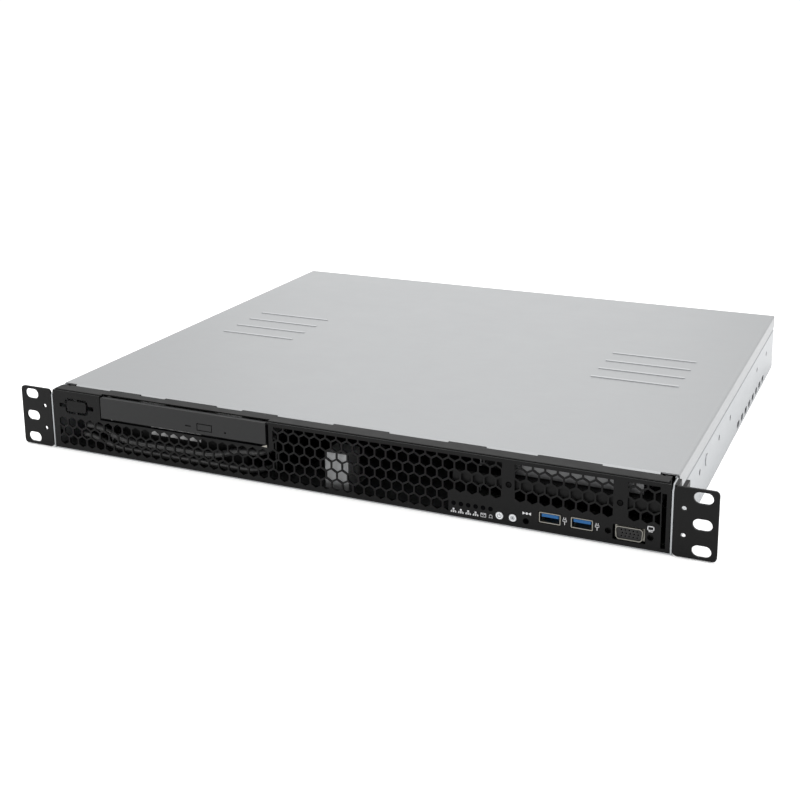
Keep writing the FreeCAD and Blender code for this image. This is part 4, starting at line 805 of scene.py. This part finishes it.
# %% Knurled grips of the thumb screws
GRIP_MIDDLE = 2.1  # from the outer end of the screw
knurl = Pattern("knurl", Ridges=36, Radius=0.0042, Length=0.0036, Width=0.00034)
circle = knurl.node("GeometryNodeMeshCircle", None,
                    {"Vertices": knurl.size("Ridges"), "Radius": knurl.size("Radius")})
upright = knurl.node("GeometryNodeTransform", None,
                     {"Geometry": circle, "Rotation": (math.radians(90), 0.0, 0.0)})
bar = knurl.node("GeometryNodeMeshCylinder", None,
                 {"Vertices": 6, "Radius": knurl.size("Width"), "Depth": knurl.size("Length")})
lying = knurl.node("GeometryNodeTransform", None,
                   {"Geometry": bar, "Rotation": (math.radians(90), 0.0, 0.0)})
grip = knurl.node("GeometryNodeInstanceOnPoints", None, {"Points": upright, "Instance": lying})
grips = knurl.node("GeometryNodeInstanceOnPoints", None,
                   {"Points": knurl.size("Points"), "Instance": grip})
knurl.end(grips, screw_steel)
for side in ("left", "right"):
    node = "thumb_screw_" + side
    outer_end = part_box(node)[1].y / MM
    x, _, z = centre(node)
    knurl.grow("thumb_knurl_" + side, [(x, outer_end - GRIP_MIDDLE, z)], body_of[node], "screw_steel")

# %% Rivets of the rear panel
rivet = Pattern("rivet", Radius=0.0016, Height=0.0005)
ball = rivet.node("GeometryNodeMeshUVSphere", None, {"Segments": 16, "Rings": 8, "Radius": 1.0})
flat = rivet.node("ShaderNodeCombineXYZ", None,
                  {0: rivet.size("Radius"), 1: rivet.size("Height"), 2: rivet.size("Radius")})
domes = rivet.node("GeometryNodeInstanceOnPoints", None,
                   {"Points": rivet.size("Points"), "Instance": ball, "Scale": flat})
rivet.end(domes, screw_steel)
rear_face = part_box("rear_panel")[1].y / MM
corner_rivets = [(x, rear_face, z) for x in (-212.0, 211.0) for z in (6.0, 36.0)]
foot_rivets = [(x, rear_face, 4.6) for x in (-118.0, -40.0, 30.0, 108.0)]
rivet.grow("rear_rivets", corner_rivets + foot_rivets, "chassis", "screw_steel")

# %% [markdown]
# ## Parts on the main board
# With the cover slid off, the main board shows a row of capacitors and a field of tiny parts. A
# capacitor is a sleeved can with a bare metal top, so one tree is run twice: wide in the colour
# of the sleeve, then narrower and a hair higher in metal. The tiny parts keep a least distance
# from each other, as parts on a board do, so Poisson points carry them, turned by quarters.

# %% Capacitors on the main board
CANS, CAN_PITCH = 7, 11.5
CAN_HEIGHT, TOP_RISE = 9.3, 0.05
CAN_ROW = (-60.0, 31.0)  # across, and back from the board's front edge
board_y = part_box("main_board")[0].y / MM
board_top = 8.6
can = Pattern("can", Radius=0.0038, Height=CAN_HEIGHT * MM)
can_body = can.node("GeometryNodeMeshCylinder", None,
                    {"Vertices": 24, "Radius": can.size("Radius"), "Depth": can.size("Height")})
cans = can.node("GeometryNodeInstanceOnPoints", None,
                {"Points": can.size("Points"), "Instance": can_body})
can.end(cans, skin_of("can_sleeve", 0.03, 0.35, 900.0, 0.00002))
can_x, can_y = CAN_ROW[0], board_y + CAN_ROW[1]
can_spots = [(can_x, can_y + CAN_PITCH * k, board_top + CAN_HEIGHT / 2) for k in range(CANS)]
can.grow("capacitor_sleeves", can_spots, "chassis", "black_plastic")
can.end(cans, fin_aluminium)
top_spots = [(x, y, z + TOP_RISE) for x, y, z in can_spots]
can.grow("capacitor_tops", top_spots, "chassis", "fin_aluminium", Radius=0.0031)

# %% Small parts scattered on the main board
FIELDS = [(-85.0, 75.0), (88.0, 110.0)]  # middles of the two fields
CHIP_RISE = 0.4
scatter = Pattern("scatter", Width=0.06, Depth=0.05, Gap=0.0042, Seed=3)
patch = scatter.node("GeometryNodeMeshGrid", None,
                     {"Size X": scatter.size("Width"), "Size Y": scatter.size("Depth"),
                      "Vertices X": 2, "Vertices Y": 2})
patches = scatter.node("GeometryNodeInstanceOnPoints", None,
                       {"Points": scatter.size("Points"), "Instance": patch})
ground = scatter.node("GeometryNodeRealizeInstances", None, {0: patches})
dots = scatter.node("GeometryNodeDistributePointsOnFaces", {"distribute_method": "POISSON"},
                    {"Mesh": ground, "Distance Min": scatter.size("Gap"), "Density Max": 60000.0,
                     "Seed": scatter.size("Seed")})
quarter = scatter.node("FunctionNodeRandomValue", {"data_type": "INT"},
                       {4: 0, 5: 3, 8: scatter.size("Seed")}, out=2)
turn = scatter.node("ShaderNodeMath", {"operation": "MULTIPLY"}, {0: quarter, 1: math.pi / 2})
angle = scatter.node("ShaderNodeCombineXYZ", None, {2: turn})
chip = scatter.node("GeometryNodeMeshCube", None, {"Size": (0.0021, 0.0012, 0.0009)})
chips = scatter.node("GeometryNodeInstanceOnPoints", None,
                     {"Points": dots, "Instance": chip, "Rotation": angle})
scatter.end(chips, skin_of("chip_grey", 0.12, 0.4, 800.0, 0.00001))
scatter.grow("board_parts", [(x, y, board_top + CHIP_RISE) for x, y in FIELDS], "chassis", "black_plastic")

# %% [markdown]
# ## Light, floor and camera
# The machine stands on a plain white sheet under a large soft box. A picture of a studio could
# light it too, but would leave lamps and windows in the gloss. So the world is one bright white,
# which keeps the steel an even grey, and a key light from the front left draws its bent edges.

# %% Floor
half_floor = 6.0
FLOOR_DROP = 0.0002  # just clear of the machine's underside
floor_mesh = bpy.data.meshes.new("floor")
corners = [(-half_floor, -half_floor, 0), (half_floor, -half_floor, 0),
           (half_floor, half_floor, 0), (-half_floor, half_floor, 0)]
floor_mesh.from_pydata(corners, [], [(0, 1, 2, 3)])
floor = bpy.data.objects.new("floor", floor_mesh)
bpy.context.scene.collection.objects.link(floor)
floor_finish = Finish("floor_white", Roughness=0.9, Emission_Strength=0.12)
floor_finish.feed("Base Color", floor_finish.mix(floor_finish.noise(3.0), grey(0.93), grey(0.95)))
floor_mesh.materials.append(floor_finish.material)
floor.location.z = -FLOOR_DROP
print("floor", 2 * half_floor, "m wide")

# %% Lights
world = bpy.data.worlds.new("studio")
world.use_nodes = True
world.node_tree.nodes["Background"].inputs["Color"].default_value = (1.0, 1.0, 1.0, 1.0)
world.node_tree.nodes["Background"].inputs["Strength"].default_value = 1.06
bpy.context.scene.world = world


def soft_box(name, place, aim, width, height, power):
    """A rectangular lamp turned towards a point."""
    lamp = bpy.data.lights.new(name, "AREA")
    lamp.shape = "RECTANGLE"
    lamp.size = width
    lamp.size_y = height
    lamp.energy = power
    holder = bpy.data.objects.new(name, lamp)
    bpy.context.scene.collection.objects.link(holder)
    holder.location = place
    holder.rotation_euler = (Vector(aim) - Vector(place)).to_track_quat("-Z", "Y").to_euler()


middle = (0.0, 0.0, 0.02)
soft_box("key", (-1.1, -1.3, 1.5), middle, 1.2, 0.9, 8.0)
soft_box("over", (0.1, 0.1, 1.9), middle, 2.0, 1.6, 24.0)
soft_box("back", (-0.8, 2.1, 0.75), middle, 1.3, 0.9, 2.2)
soft_box("side", (1.8, 0.1, 0.6), middle, 1.0, 0.8, 10.0)
print("four soft boxes")

# %% Camera
azimuth = math.radians(23.826)
height_angle = math.radians(13.343)
roll = math.radians(-0.404)
back = Vector((math.sin(azimuth) * math.cos(height_angle), -math.cos(azimuth) * math.cos(height_angle),
               math.sin(height_angle)))
right = Vector((0, 0, 1)).cross(back).normalized()
up = back.cross(right)
turned_right = math.cos(roll) * right + math.sin(roll) * up
turned_up = -math.sin(roll) * right + math.cos(roll) * up
camera = bpy.data.cameras.new("camera")
camera.lens = 56.62
camera.shift_x = -0.016
camera.shift_y = -0.1606
viewer = bpy.data.objects.new("camera", camera)
bpy.context.scene.collection.objects.link(viewer)
viewer.matrix_world = Matrix((turned_right, turned_up, back)).transposed().to_4x4()
viewer.location = (0.34739, -0.84838, 0.32033)
bpy.context.scene.camera = viewer
bpy.context.scene.view_settings.view_transform = "Standard"
print("camera at", [round(v, 3) for v in viewer.location])

# %% The end
print("the end")
